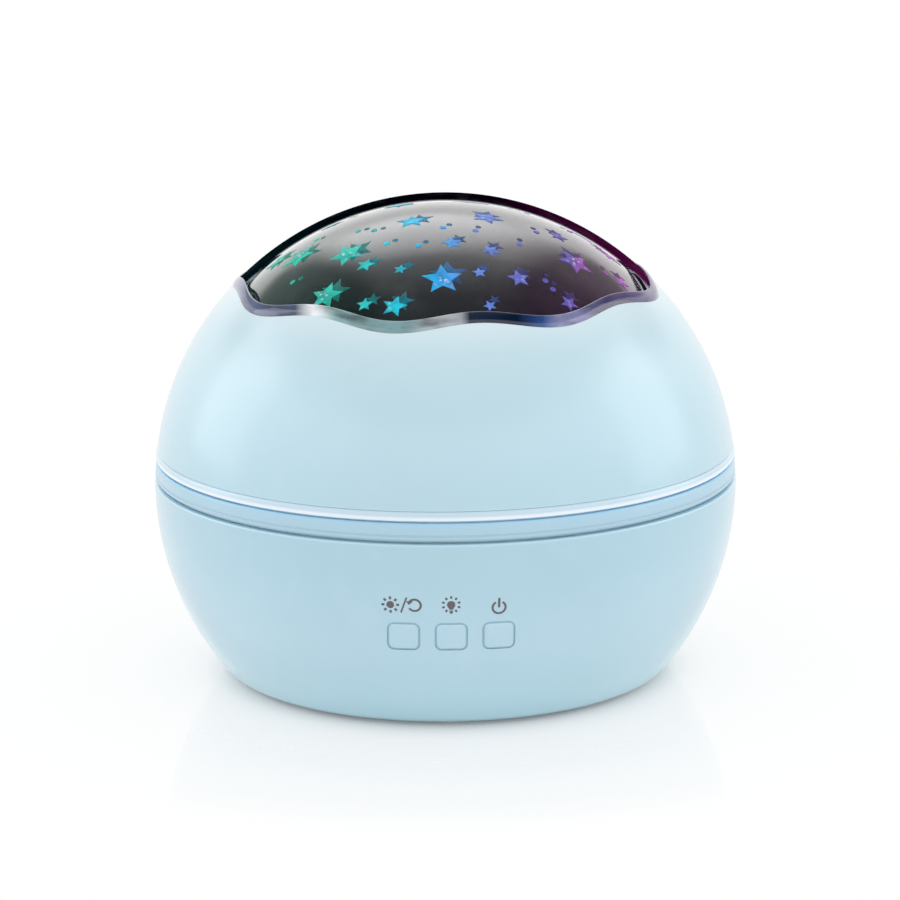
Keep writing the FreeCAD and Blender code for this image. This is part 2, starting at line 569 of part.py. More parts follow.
def clear_cap():
    """Clear domed window with a wavy bead that stands a little proud of the shell."""
    under_r = BALL_R - CAP_WALL - FIT_GAP
    dome = ball(BALL_R - FIT_GAP).cut(ball(under_r)).common(wave_prism(OPENING_R - LIP_STEP - FIT_GAP))
    collar = ball(BALL_R + LIP_PROUD).cut(ball(INNER_R + REBATE_WALL + FIT_GAP))
    bead = collar.common(wave_prism(OPENING_R - FIT_GAP)).cut(wave_prism(OPENING_R - LIP_W))
    return fuse(dome, bead)


def cover_ring():
    """Foot of the cover: a ridge that rests over the band, a spigot inside it, and a tongue up into the shell."""
    ridge = ball(BALL_R).common(ring(BALL_R + 1, SPIGOT_R0, RIDGE_Z0, RIDGE_Z1))
    outer = [e for e in ridge.Edges if e.BoundBox.XLength > 2 * (SPIGOT_R0 + 0.8)
             and e.BoundBox.ZLength < 0.01]
    ridge = ridge.makeFillet(RIDGE_EDGE_R, outer)
    spigot = ring(SPIGOT_R1, SPIGOT_R0, BAND_Z0 + BAND_FLANGE + SLIDE_GAP, RIDGE_Z0 + 0.2)
    tongue = ring(TONGUE_R + TONGUE_W, TONGUE_R, RIDGE_Z1 - 0.2, RIDGE_Z1 + TONGUE_H)
    return fuse(ridge, spigot, tongue)


# ---------------------------------------------------------------- buttons and boards
def button_cap(k):
    """Button whose face follows the shell, with a shoulder in its window, a flange behind and a stem."""
    u = (k - 1) * BUTTON_PITCH
    wider = BUTTON_GAP - BUTTON_SLIT
    face = on_front(rounded_plate(BUTTON_W, BUTTON_H, BUTTON_CORNER, 12.0), u, 0, FLANGE_FACE)
    face = face.common(ball(BALL_R + BUTTON_PROUD, LOWER_LIFT))
    shoulder = rounded_plate(BUTTON_W + 2 * wider, BUTTON_H + 2 * wider, BUTTON_CORNER + wider, 12.0)
    shoulder = on_front(shoulder, u, 0, FLANGE_FACE).common(ball(BALL_R - BUTTON_STEP, LOWER_LIFT))
    flange = rounded_plate(BUTTON_W + FLANGE_GROW, BUTTON_H + FLANGE_GROW, BUTTON_CORNER, FLANGE_T)
    flange = on_front(flange, u, 0, FLANGE_FACE + FLANGE_T - 0.1)
    stem = Part.makeCylinder(STEM_R, PLUNGER_TOP - FLANGE_FACE)
    return fuse(face, shoulder, flange, on_front(stem, u, 0, PLUNGER_TOP))


def plunger(k):
    """Moving plunger of one push switch, under its button's stem."""
    pin = Part.makeCylinder(1.4, PLUNGER_L)
    return on_front(pin, (k - 1) * BUTTON_PITCH, 0, PLUNGER_TOP + PLUNGER_L)


def push_switches():
    """Three square push switches on the switch board, each hollow round its plunger."""
    made = []
    for k in range(3):
        case = Part.makeBox(6, 6, SWITCH_CASE_H, V(-3, -3, 0))
        well = Part.makeCylinder(1.4 + 0.2, SWITCH_CASE_H, V(0, 0, 0.6))
        made.append(on_front(case.cut(well), (k - 1) * BUTTON_PITCH, 0, SWITCH_FACE))
    return Part.makeCompound(made)


def switch_board():
    board = rounded_plate(2 * SWITCH_BOSS_U + 6.5, 9.0, 1.0, SWITCH_BOARD_T)
    board = on_front(board, 0, 0, SWITCH_FACE + SWITCH_BOARD_T)
    for u in (-SWITCH_BOSS_U, SWITCH_BOSS_U):
        board = board.cut(on_front(Part.makeCylinder(SCREW_R + 0.2, 4), u, 0, SWITCH_FACE + 3))
    return board


def switch_screws():
    made = []
    for u in (-SWITCH_BOSS_U, SWITCH_BOSS_U):
        head = on_front(Part.makeCylinder(HEAD_R, HEAD_H), u, 0, SWITCH_FACE + SWITCH_BOARD_T + HEAD_H)
        shank = on_front(Part.makeCylinder(SCREW_R - 0.02, SWITCH_SCREW_L + SWITCH_BOARD_T), u, 0,
                         SWITCH_FACE + SWITCH_BOARD_T)
        made.append(fuse(head, shank))
    return Part.makeCompound(made)


def main_board():
    """Main board over the battery bay, with a tab at the back for the power socket."""
    board = fuse(block(-BOARD_X, BOARD_X, BOARD_Y0, BOARD_Y1, BOARD_Z0, BOARD_Z1),
                 block(-SOCKET_TAB_X, SOCKET_TAB_X, BOARD_Y1 - 1, SOCKET_TAB_Y, BOARD_Z0, BOARD_Z1))
    for x, y in BOARD_FIXINGS:
        board = board.cut(disc(SCREW_R + 0.2, BOARD_Z0 - 1, BOARD_Z1 + 1, x, y))
    return board


def board_screws():
    return Part.makeCompound([screw(x, y, BOARD_Z1, BOARD_T + BOARD_SCREW_L) for x, y in BOARD_FIXINGS])


def board_components():
    """Control chip, capacitor and the four plug-in wire sockets on the main board."""
    chip = block(-4, 4, 30, 35, BOARD_Z1, BOARD_Z1 + 1.5)
    capacitor = disc(3.0, BOARD_Z1, BOARD_Z1 + 7.0, 10, 39)
    resistors = [block(x, x + 2.0, 38, 39.2, BOARD_Z1, BOARD_Z1 + 0.5) for x in (-12, -9, -6)]
    sockets = [block(x - 4, x + 4, y - 2.2, y + 2.2, BOARD_Z1, BOARD_Z1 + SOCKET_BLOCK_H)
               for x, y in WIRE_SOCKETS.values()]
    return Part.makeCompound([chip, capacitor] + resistors + sockets)


def power_socket():
    """Metal shell of the five-volt socket at the back, open outwards, with its contact tongue."""
    y0, y1 = SOCKET_FACE_Y - SOCKET_L, SOCKET_FACE_Y
    case = block(-SOCKET_W / 2, SOCKET_W / 2, y0, y1, SOCKET_Z, SOCKET_Z + SOCKET_H)
    hollow = block(-SOCKET_W / 2 + 0.35, SOCKET_W / 2 - 0.35, y0 + 0.6, y1 + 1, SOCKET_Z + 0.35,
                   SOCKET_Z + SOCKET_H - 0.35)
    tongue = block(-1.9, 1.9, y0 + 0.5, y1 - 1.0, SOCKET_Z + 1.3, SOCKET_Z + 1.9)
    return fuse(case.cut(hollow), tongue)


# ---------------------------------------------------------------- lamp on the deck
def led_post():
    """Hollow cone that lifts the lamp board to the middle of the star dome, screwed to the deck."""
    flange = disc(POST_FLANGE_R, DECK_TOP_Z, DECK_TOP_Z + 1.4)
    cone = Part.makeCone(11.0, 9.0, LED_BOARD_Z - DECK_TOP_Z - 1.3, V(0, 0, up(DECK_TOP_Z + 1.3)))
    post = fuse(flange, cone)
    hollow = Part.makeCone(9.5, 7.5, LED_BOARD_Z - DECK_TOP_Z - 1.5, V(0, 0, up(DECK_TOP_Z)))
    post = post.cut(hollow).cut(disc(LEAD_HOLE_R, DECK_TOP_Z - 1, LED_BOARD_Z + 1))
    for x, y in corner_places(POST_SCREW_R, 3, 0.0):
        post = post.cut(disc(SCREW_R + 0.2, DECK_TOP_Z - 1, DECK_TOP_Z + 3, x, y))
    for x in (-LED_SCREW_X, LED_SCREW_X):
        post = post.cut(disc(SCREW_R - 0.3, LED_BOARD_Z - 3.5, LED_BOARD_Z + 1, x, 0))
    return post


def post_screws():
    return Part.makeCompound([screw(x, y, DECK_TOP_Z + 1.4, 1.4 + DECK_T - 0.1)
                              for x, y in corner_places(POST_SCREW_R, 3, 0.0)])


def led_board():
    board = disc(LED_BOARD_R, LED_BOARD_Z, LED_BOARD_Z + BOARD_T)
    for x in (-LED_SCREW_X, LED_SCREW_X):
        board = board.cut(disc(SCREW_R - 0.1, LED_BOARD_Z - 1, LED_BOARD_Z + 4, x, 0))
    return board


def led_board_screws():
    made = []
    for x in (-LED_SCREW_X, LED_SCREW_X):
        head = disc(1.9, LED_BOARD_Z + BOARD_T, LED_BOARD_Z + BOARD_T + 1.0, x, 0)
        made.append(fuse(head, disc(SCREW_R - 0.35, LED_BOARD_Z - 3.0, LED_BOARD_Z + BOARD_T, x, 0)))
    return Part.makeCompound(made)


def star_leds():
    """Four round five-millimetre lamps that throw the stars, close round the axis."""
    top = LED_BOARD_Z + BOARD_T
    made = []
    for x, y in corner_places(4.6, 4, 45.0):
        flange = disc(2.9, top, top + 1.0, x, y)
        body = disc(2.5, top + 0.5, top + 4.2, x, y)
        tip = Part.makeSphere(2.5, V(x, y, up(top + 4.2)))
        made.append(fuse(flange, body, tip))
    return Part.makeCompound(made)


def night_leds():
    """Six flat warm-white lamps near the rim of the lamp board."""
    top = LED_BOARD_Z + BOARD_T
    made = []
    for x, y in corner_places(10.6, 6, 0.0):
        made.append(block(x - 1.4, x + 1.4, y - 1.4, y + 1.4, top, top + 0.9))
    return Part.makeCompound(made)


# ---------------------------------------------------------------- wires
def socket_top(name, offset=0.0):
    x, y = WIRE_SOCKETS[name]
    return (x + offset, y, up(BOARD_Z1 + SOCKET_BLOCK_H))


def motor_leads():
    """Two wires from under the motor to the main board."""
    made = []
    under = up(DECK_Z0 - FIT_GAP - GEARBOX_L - MOTOR_L)
    for side in (-1, 1):
        y = 5.6 * side
        end = socket_top("motor", 1.2 * side)
        made.append(lead([(MOTOR_X - 2, y, under), (MOTOR_X - 2, y, under - 4.0),
                          (MOTOR_X - 8, 8 + 1.2 * side, under - 5.5), (end[0] + 5, end[1] - 3, end[2] + 3.5),
                          (end[0], end[1], end[2] + 4.5), end]))
    return Part.makeCompound(made)


def led_leads():
    """Three wires from the lamp board down through the deck to the main board."""
    made = []
    for k in (-1, 0, 1):
        end = socket_top("lamp", 1.6 * k)
        made.append(lead([(1.6 * k, 0, up(LED_BOARD_Z)), (1.6 * k, 0, up(DECK_Z0 - 5)),
                          (end[0], end[1] - 6, end[2] + 7), (end[0], end[1], end[2] + 6), end]))
    return Part.makeCompound(made)


def battery_leads():
    """Two wires from the battery bay's back wall up to the main board's underside."""
    made = []
    for x in (-9.0, 9.0):
        y = BAY_Y + BAY_WALL
        z = up(CELL_Z)
        made.append(lead([(x, y, z), (x, y + 2.4, z), (x, y + 2.6, z + 3.0), (x, y + 2.6, up(BOARD_Z0))]))
    return Part.makeCompound(made)


def switch_leads():
    """Four wires side by side from the switch board over the battery bay to the main board."""
    made = []
    for k in range(4):
        x = 1.5 * (k - 1.5)
        start = on_front(Part.Vertex(0, 0, 0), x, -2.5, SWITCH_FACE + SWITCH_BOARD_T).Point
        back = on_front(Part.Vertex(0, 0, 0), x, -2.5, SWITCH_FACE + SWITCH_BOARD_T + 3.5).Point
        end = socket_top("switches", x)
        made.append(lead([tuple(start), tuple(back), (x, -32, up(-22.0)), (x, -8, up(-21.0)),
                          (end[0], end[1] - 5, end[2] + 4.5), (end[0], end[1], end[2] + 5), end]))
    return Part.makeCompound(made)


# ---------------------------------------------------------------- places of small parts
COVER_SCREW_SEAT = FLOOR_Z + 1.4
COVER_SCREW_L = 16.0
FOOT_CIRCLE_R = 41.0
FOOT_R = 4.0
FOOT_RECESS = 0.6
DOOR_X = BAY_X + 0.6
DOOR_Y0 = -(BAY_Y + 8.6)
DOOR_Y1 = BAY_Y + 0.6
DOOR_CORNER = 2.0
DOOR_SCREW_Y = -(BAY_Y + BAY_WALL + 3.2)
DOOR_SCREW_L = 6.0
DOOR_HEAD_H = 0.6
DOOR_BOSS_R = 2.8
CELL_NUB = 0.8
PLATE_W = 8.0
PLATE_T = 0.4
SPRING_R = 2.6
STANDOFF_R = 2.4
BOARD_SCREW_L = 2.2
BOARD_FIXINGS = ((-16.0, 33.0), (16.0, 33.0), (-16.0, 16.5), (16.0, 16.5))
BOARD_X = 20.0
BOARD_Y0 = 12.0
BOARD_Y1 = 46.0
SOCKET_TAB_X = 7.0
SOCKET_TAB_Y = 56.5
SOCKET_W = 7.6
SOCKET_H = 2.9
SOCKET_L = 5.6
SOCKET_Z = BOARD_Z1
SOCKET_FACE_Y = 59.0
SOCKET_BLOCK_H = 4.0
INLET_W = 11.5
INLET_H = 7.0
INLET_CORNER = 2.0
WIRE_SOCKETS = {"motor": (15.0, 25.0), "lamp": (-13.0, 26.0), "switches": (0.0, 17.0)}
BAND_EDGE_R = 0.6
RIDGE_EDGE_R = 0.8
SKIRT_R1 = INNER_R - 0.2
SKIRT_R0 = SKIRT_R1 - 1.1
SKIRT_Z0 = -3.0
TONGUE_R = 63.1
TONGUE_W = 0.6
TONGUE_H = 0.8
PEG_CIRCLE_R = RING_ROOT_R + 1.9
PEG_R = 1.1
PEG_L = 1.6
SEAT_LIP_H = 3.0
LEAD_HOLE_R = 4.0
MOTOR_EAR_Y = 14.2
POST_FLANGE_R = 16.0
POST_SCREW_R = 13.4
LED_SCREW_X = 8.2
STAR_SHRINK = 0.06
FLANGE_FACE = 5.4
FLANGE_T = 1.0
FLANGE_GROW = 1.8
STEM_R = 1.6
PLUNGER_TOP = 8.1
PLUNGER_L = 2.0
SWITCH_CASE_H = 3.4
SWITCH_FACE = PLUNGER_TOP + 1.0 + SWITCH_CASE_H
SWITCH_BOSS_U = 18.5
SWITCH_BOSS_R = 2.4
SWITCH_BOSS_TOP = 2.5
SWITCH_SCREW_L = 4.5

# ---------------------------------------------------------------- every node
NODES = {
    "base_shell": base_shell,
    "bottom_cover": bottom_cover,
    "battery_door": battery_door,
    "battery_door_screw": battery_door_screw,
    "battery_cells": battery_cells,
    "battery_contacts": battery_contacts,
    "cover_screws": cover_screws,
    "rubber_feet": rubber_feet,
    "band_ring": band_ring,
    "chassis_deck": chassis_deck,
    "ring_gear": ring_gear,
    "film_seat": film_seat,
    "film_dome": film_dome,
    "star_lens": star_lens,
    "drive_pinion": drive_pinion,
    "motor_shaft": motor_shaft,
    "motor_gearbox": motor_gearbox,
    "motor_can": motor_can,
    "motor_screws": motor_screws,
    "wave_shell": wave_shell,
    "clear_cap": clear_cap,
    "cover_ring": cover_ring,
    "push_switches": push_switches,
    "switch_board": switch_board,
    "switch_screws": switch_screws,
    "main_board": main_board,
    "board_screws": board_screws,
    "board_components": board_components,
    "power_socket": power_socket,
    "led_post": led_post,
    "post_screws": post_screws,
    "led_board": led_board,
    "led_board_screws": led_board_screws,
    "star_leds": star_leds,
    "night_leds": night_leds,
    "motor_leads": motor_leads,
    "led_leads": led_leads,
    "battery_leads": battery_leads,
    "switch_leads": switch_leads,
}
for number, word in enumerate(BUTTON_NAMES):
    NODES["button_" + word] = lambda k=number: button_cap(k)
    NODES["plunger_" + word] = lambda k=number: plunger(k)

os.makedirs("parts", exist_ok=True)
for name, make in NODES.items():
    shape = make()
    shape.exportStep("parts/" + name + ".step")
    print(name, len(shape.Solids), "solids", round(shape.Volume, 1), "mm3", "valid" if shape.isValid() else "INVALID")
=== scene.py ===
import math

import bpy
import numpy as np
from mathutils import Matrix, Vector


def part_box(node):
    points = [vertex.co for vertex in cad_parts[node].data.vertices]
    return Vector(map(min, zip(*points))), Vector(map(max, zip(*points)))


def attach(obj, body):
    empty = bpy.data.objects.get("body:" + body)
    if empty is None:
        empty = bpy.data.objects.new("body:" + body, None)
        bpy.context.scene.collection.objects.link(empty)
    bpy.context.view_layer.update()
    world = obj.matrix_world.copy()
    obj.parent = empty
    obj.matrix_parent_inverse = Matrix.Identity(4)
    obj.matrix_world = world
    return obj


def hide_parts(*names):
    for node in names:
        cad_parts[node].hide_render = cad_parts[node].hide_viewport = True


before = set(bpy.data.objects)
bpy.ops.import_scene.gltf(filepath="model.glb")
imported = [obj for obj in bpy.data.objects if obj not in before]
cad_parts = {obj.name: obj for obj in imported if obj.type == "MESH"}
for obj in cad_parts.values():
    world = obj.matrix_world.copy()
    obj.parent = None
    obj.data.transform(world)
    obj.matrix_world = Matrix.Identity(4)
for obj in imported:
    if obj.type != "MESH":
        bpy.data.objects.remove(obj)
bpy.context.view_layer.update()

MM = 0.001
STEPS_ROUND, FILM_STEPS, DOME_ROWS = 288, 192, 70
TOP_LATITUDE = 89.6

# The ball and its lower shell, whose own centre is lifted a little and whose foot is cut flat.
BALL_R, INNER_R = 65.0, 63.2
CENTRE_Z = 42.1
LOWER_LIFT = 1.2
FLOOR_Z = -41.3
FLOOR_EDGE_R = 5.0
RECESS_R, LEDGE_R = 46.2, 39.5
LEDGE_Z0, LEDGE_Z1 = FLOOR_Z + 2.0, FLOOR_Z + 3.8
RIM_Z = 2.4
INLET_W, INLET_H, INLET_CORNER = 11.5, 7.0, 2.0

# Band, ridge and the spigot that locates the cover.
BAND_Z0, BAND_Z1 = 2.9, 6.9
RIDGE_Z0, RIDGE_Z1 = 7.3, 9.4
SPIGOT_R0, SPIGOT_R1 = 62.55, 63.53

# Wavy opening, its rebate, its rounded edge (degrees of latitude and depth) and bead, and the clear cap.
WAVES = 8
WAVE_TURN = 8.1
WAVE_AMPLITUDE = 0.9
OPENING_R = 47.1
REBATE_W, REBATE_R = 1.1, INNER_R + 0.9
EDGE_TURN, EDGE_DROP = 0.3, 0.34
BEAD_H, BEAD_TUCK = 0.42, 0.16
LIP_W = 2.0
CAP_WALL = 1.2

# Dark dome under the cap.
FILM_R, FILM_WALL, FILM_LIFT = 62.3, 0.8, 0.6
SEAT_Z1 = 5.2

# Square keys, and the slit round them that is left to see.
BUTTON_W, BUTTON_H, BUTTON_CORNER = 6.1, 5.8, 1.1
BUTTON_GAP = 0.4
SEEN_SLIT = 0.04
BUTTON_Z = -18.2
BUTTON_PITCH = 10.0
KEY_PROUD = 0.22

# Rubber feet, and how far the floor is clear under the base.
FOOT_CIRCLE_R, FOOT_R = 41.0, 4.0
CLEAR_R = 42.0


# ---- mesh makers
def link(name, data):
    """New object of the scene from a mesh, a lamp or a camera."""
    made = bpy.data.objects.new(name, data)
    bpy.context.scene.collection.objects.link(made)
    return made


def add_mesh(name, points, faces, material, crease=35.0):
    """One piece from points in millimetres (ball's centre as origin) and a list of face arrays."""
    placed = np.asarray(points, float).reshape(-1, 3) + (0.0, 0.0, CENTRE_Z)
    polygons = [face for block in faces for face in np.asarray(block).tolist()]
    mesh = bpy.data.meshes.new(name)
    mesh.from_pydata((placed * MM).tolist(), [], polygons)
    mesh.validate()
    mesh.shade_smooth()
    mesh.set_sharp_from_angle(angle=math.radians(crease))
    mesh.materials.append(material)
    return link(name, mesh)


def grid_faces(rows, columns, wrap_rows=False, wrap_columns=False, start=0):
    """Quads between neighbouring rows and columns of a grid of points numbered row by row."""
    i, j = np.meshgrid(np.arange(rows if wrap_rows else rows - 1),
                       np.arange(columns if wrap_columns else columns - 1), indexing="ij")
    i2, j2 = (i + 1) % rows, (j + 1) % columns
    quads = np.stack([i * columns + j, i2 * columns + j, i2 * columns + j2, i * columns + j2], -1)
    return quads.reshape(-1, 4) + start


def fan(first, second, tip):
    """Triangles from pairs of point numbers to one tip."""
    return np.stack([first, second, np.full(len(first), tip)], -1)


def around(count):
    """Numbers of the points of a closed ring, and of the point after each."""
    i = np.arange(count)
    return i, (i + 1) % count


def round_steps(count=STEPS_ROUND):
    return np.arange(count) * 2 * np.pi / count


def carried(profile, azimuth):
    """A profile's (radius, height) carried round the Z axis: x = radius sin(azimuth), y = -radius cos(azimuth),
    z = height."""
    radius = profile[..., 0]
    return np.stack([radius * np.sin(azimuth), -radius * np.cos(azimuth), profile[..., 1]], -1)


def turned(name, profile, material, crease=35.0):
    """Closed ring from a closed profile, counter-clockwise, which may differ with azimuth."""
    profile = np.broadcast_to(profile, (STEPS_ROUND,) + np.asarray(profile).shape[-2:])
    points = carried(profile, round_steps()[:, None])
    return add_mesh(name, points, [grid_faces(STEPS_ROUND, profile.shape[1], True, True)], material, crease)


def arc(radius, first, last, count, centre=(0.0, 0.0)):
    """Points on a circle in a plane; angles in degrees from its first axis."""
    a = np.radians(np.linspace(first, last, count))
    return np.stack([centre[0] + radius * np.cos(a), centre[1] + radius * np.sin(a)], -1)


def softened(corners, steps=5):
    """Closed profile with its corners rounded: each corner (r, z, size) becomes a quadratic curve that starts
    and ends at that distance from it."""
    corners = np.asarray(corners, float)
    here, size = corners[:, :2], corners[:, 2:3]
    ends = []
    for way in (1, -1):
        side = np.roll(here, way, 0) - here
        length = np.linalg.norm(side, axis=1, keepdims=True)
        ends.append((here + side / length * np.minimum(size, 0.45 * length))[:, None])
    t = np.linspace(0, 1, steps)[None, :, None]
    curves = (1 - t) ** 2 * ends[0] + 2 * t * (1 - t) * here[:, None] + t ** 2 * ends[1]
    return curves.reshape(-1, 2)


def on_ball(height, radius=BALL_R):
    return math.sqrt(radius ** 2 - height ** 2)


# ---- node helpers
def feed(tree, socket, given):
    """Gives a socket a number, a colour, a vector or another node's output."""
    if isinstance(given, bpy.types.NodeSocket):
        tree.links.new(given, socket)
    elif socket.type == "RGBA":
        socket.default_value = given + (1,)
    else:
        socket.default_value = given


def node(tree, kind, feeds=None, **settings):
    """New node with its settings; feeds says what each of its sockets, by name or number, is given."""
    made = tree.nodes.new(kind)
    for key, setting in settings.items():
        setattr(made, key, setting)
    for label, given in (feeds or {}).items():
        feed(tree, made.inputs[label], given)
    return made


def value(tree, operation, first, second=0.5, clamp=False):
    """Math node over two numbers or sockets."""
    return node(tree, "ShaderNodeMath", {0: first, 1: second}, operation=operation, use_clamp=clamp).outputs[0]


def measure(tree, operation, first, second=(0.0, 0.0, 0.0)):
    """Number from vectors: DISTANCE or DOT_PRODUCT of both, or LENGTH of the first."""
    return node(tree, "ShaderNodeVectorMath", {0: first, 1: second}, operation=operation).outputs["Value"]


def scaled(tree, vector, factor):
    return node(tree, "ShaderNodeVectorMath", {0: vector, "Scale": factor}, operation="SCALE").outputs[0]


def own_place(tree):
    """Where a point lies on its piece, in metres."""
    return node(tree, "ShaderNodeTexCoord").outputs["Object"]


def attribute(tree, name):
    return node(tree, "ShaderNodeAttribute", attribute_name=name).outputs["Fac"]


def ramp(tree, factor, stops, interpolation="LINEAR"):
    """Colour ramp with (position, colour) stops; a stop's colour may be one grey number."""
    made = node(tree, "ShaderNodeValToRGB", {0: factor})
    made.color_ramp.interpolation = interpolation
    elements = made.color_ramp.elements
    while len(elements) < len(stops):
        elements.new(0.5)
    for element, (position, colour) in zip(elements, stops):
        element.position = position
        element.color = ((colour,) * 3 if isinstance(colour, (int, float)) else colour) + (1,)
    return made.outputs[0]


def blend_colour(tree, factor, first, second, how="MIX"):
    return node(tree, "ShaderNodeMix", {0: factor, 6: first, 7: second}, data_type="RGBA",
                blend_type=how).outputs[2]


def noise(tree, place, scale, detail=2.0, roughness=0.5):
    return node(tree, "ShaderNodeTexNoise", {"Vector": place, "Scale": scale, "Detail": detail,
                                             "Roughness": roughness}).outputs["Fac"]


def surface_group(name, inputs):
    """Empty shader node group with (name, default) inputs, which gives out a colour, a roughness and a height."""
    tree = bpy.data.node_groups.new(name, "ShaderNodeTree")
    for label, default in inputs:
        kind = "NodeSocketColor" if isinstance(default, tuple) else "NodeSocketFloat"
        socket = tree.interface.new_socket(name=label, in_out="INPUT", socket_type=kind)
        socket.default_value = default + (1,) if isinstance(default, tuple) else default
    for label, kind in (("Colour", "Color"), ("Roughness", "Float"), ("Height", "Float")):
        tree.interface.new_socket(name=label, in_out="OUTPUT", socket_type="NodeSocket" + kind)
    return tree, tree.nodes.new("NodeGroupInput").outputs, tree.nodes.new("NodeGroupOutput").inputs


def moulded_group():
    """Moulded plastic: slow drifts of tone from the melt's flow, a fine grain, and a few rubbed, dustier
    places."""
    tree, given, out = surface_group("moulded_surface", [
        ("Colour", (0.8, 0.8, 0.8)), ("Drift", 0.04), ("Roughness", 0.3), ("Grain Scale", 1800.0),
        ("Grain", 0.3), ("Rubbing", 0.05)])
    place = own_place(tree)
    flow = value(tree, "SUBTRACT", noise(tree, place, 38.0, 3.0), 0.5)
    swing = value(tree, "MULTIPLY", flow, given["Drift"])
    toned = scaled(tree, given["Colour"], value(tree, "ADD", 1.0, value(tree, "MULTIPLY", swing, 4.0)))
    cloud = ramp(tree, noise(tree, place, 160.0, 4.0, 0.6), [(0.52, 0.0), (0.72, 1.0)])
    rub = value(tree, "MULTIPLY", cloud, given["Rubbing"])
    dusty = blend_colour(tree, value(tree, "MULTIPLY", rub, 0.6), toned, (0.9, 0.9, 0.9))
    rough = value(tree, "ADD", value(tree, "ADD", given["Roughness"], rub), value(tree, "MULTIPLY", flow, 0.08))
    grain = value(tree, "MULTIPLY", noise(tree, place, given["Grain Scale"], 1.5), given["Grain"])
    for label, result in (("Colour", dusty), ("Roughness", rough), ("Height", grain)):
        feed(tree, out[label], result)
    return tree


def metal_group():
    """Plated or drawn metal: fine lines one way, mottled plating and duller patches."""
    tree, given, out = surface_group("metal_surface", [
        ("Colour", (0.6, 0.6, 0.6)), ("Roughness", 0.3), ("Line Scale", 2500.0)])
    place = own_place(tree)
    stretched = node(tree, "ShaderNodeMapping", {"Vector": place, "Scale": (1.0, 1.0, 0.04)}).outputs[0]
    lines = noise(tree, stretched, given["Line Scale"])
    mottle = value(tree, "MULTIPLY", noise(tree, place, 420.0, 3.0), 0.36)
    toned = scaled(tree, given["Colour"], value(tree, "ADD", 0.82, mottle))
    duller = value(tree, "MULTIPLY", value(tree, "SUBTRACT", lines, 0.5), 0.3)
    rough = value(tree, "ADD", given["Roughness"], duller)
    for label, result in (("Colour", toned), ("Roughness", rough), ("Height", lines)):
        feed(tree, out[label], result)
    return tree


MOULDED = moulded_group()
METAL = metal_group()


def material(name, **constants):
    """New material; constants are Principled sockets with values that hold all over the surface."""
    made = bpy.data.materials.new(name)
    made.use_nodes = True
    shader = made.node_tree.nodes["Principled BSDF"]
    for label, given in constants.items():
        shader.inputs[label.replace("_", " ")].default_value = given
    return made, made.node_tree, shader


def use_group(tree, shader, made_group, colour, bump, depth, **given):
    """Places a surface group and feeds colour, roughness and a bump from it."""
    feeds = {label.replace("_", " "): number for label, number in given.items()}
    surface = node(tree, "ShaderNodeGroup", {"Colour": colour} | feeds, node_tree=made_group).outputs
    relief = node(tree, "ShaderNodeBump", {"Strength": bump, "Distance": depth, "Height": surface["Height"]})
    feed(tree, shader.inputs["Base Color"], surface["Colour"])
    feed(tree, shader.inputs["Roughness"], surface["Roughness"])
    feed(tree, shader.inputs["Normal"], relief.outputs[0])


def moulded(tree, shader, colour, bump=0.1, depth=0.0001, drift=0.03, rough=0.4, scale=1500.0, grain=0.3,
            rubbing=0.04):
    """Gives a shader the moulded surface; depth is the bump's height in metres."""
    use_group(tree, shader, MOULDED, colour, bump, depth, Drift=drift, Roughness=rough, Grain_Scale=scale,
              Grain=grain, Rubbing=rubbing)


def even_plastic(name, colour, constants, **surface):
    """Plastic of one colour; constants go to the shader and the rest to the moulded surface."""
    made, tree, shader = material(name, **constants)
    moulded(tree, shader, colour, **surface)
    return made


def across(tree, low, high, axis="X"):
    """0 to 1 as the piece's own X, Y or Z goes from low to high millimetres."""
    split = node(tree, "ShaderNodeSeparateXYZ", {0: own_place(tree)})
    return node(tree, "ShaderNodeMapRange", {"Value": split.outputs[axis], "From Min": low * MM,
                                             "From Max": high * MM}).outputs[0]


# ---- finishes
def pearl_plastic(name, tones, low, high, coat=0.75, rough=0.30):
    """Semi-gloss pearl plastic whose colour changes with height, (share of the way up, colour), which carries the
    painted light and painted shade listed for the shells, ridge and band; and painted shade, a deeper blue, down
    in a groove, where the mesh's attribute "groove_shade" is 1."""
    made, tree, shader = material(name, Coat_Weight=coat, Coat_Roughness=0.20, IOR=1.46)
    tone = ramp(tree, across(tree, low, high, "Z"), tones)
    # Painted shade: a deeper blue down in a key's groove, where the attribute "groove_shade" is 1.
    tone = blend_colour(tree, attribute(tree, "groove_shade"), tone, (0.33, 0.56, 0.69))
    moulded(tree, shader, tone, depth=0.00008, drift=0.016, rough=rough, scale=2300.0, grain=0.35, rubbing=0.05)
    return made


def plain_plastic(name, colour, rough, scale=1500.0, bump=0.25):
    return even_plastic(name, colour, {"IOR": 1.47}, bump=bump, depth=0.00012, rough=rough, scale=scale,
                        grain=0.6, rubbing=0.08)


def metal(name, colour, rough, lines=2500.0):
    made, tree, shader = material(name, Metallic=1.0)
    use_group(tree, shader, METAL, colour, 0.12, 0.00006, Roughness=rough, Line_Scale=lines)
    return made


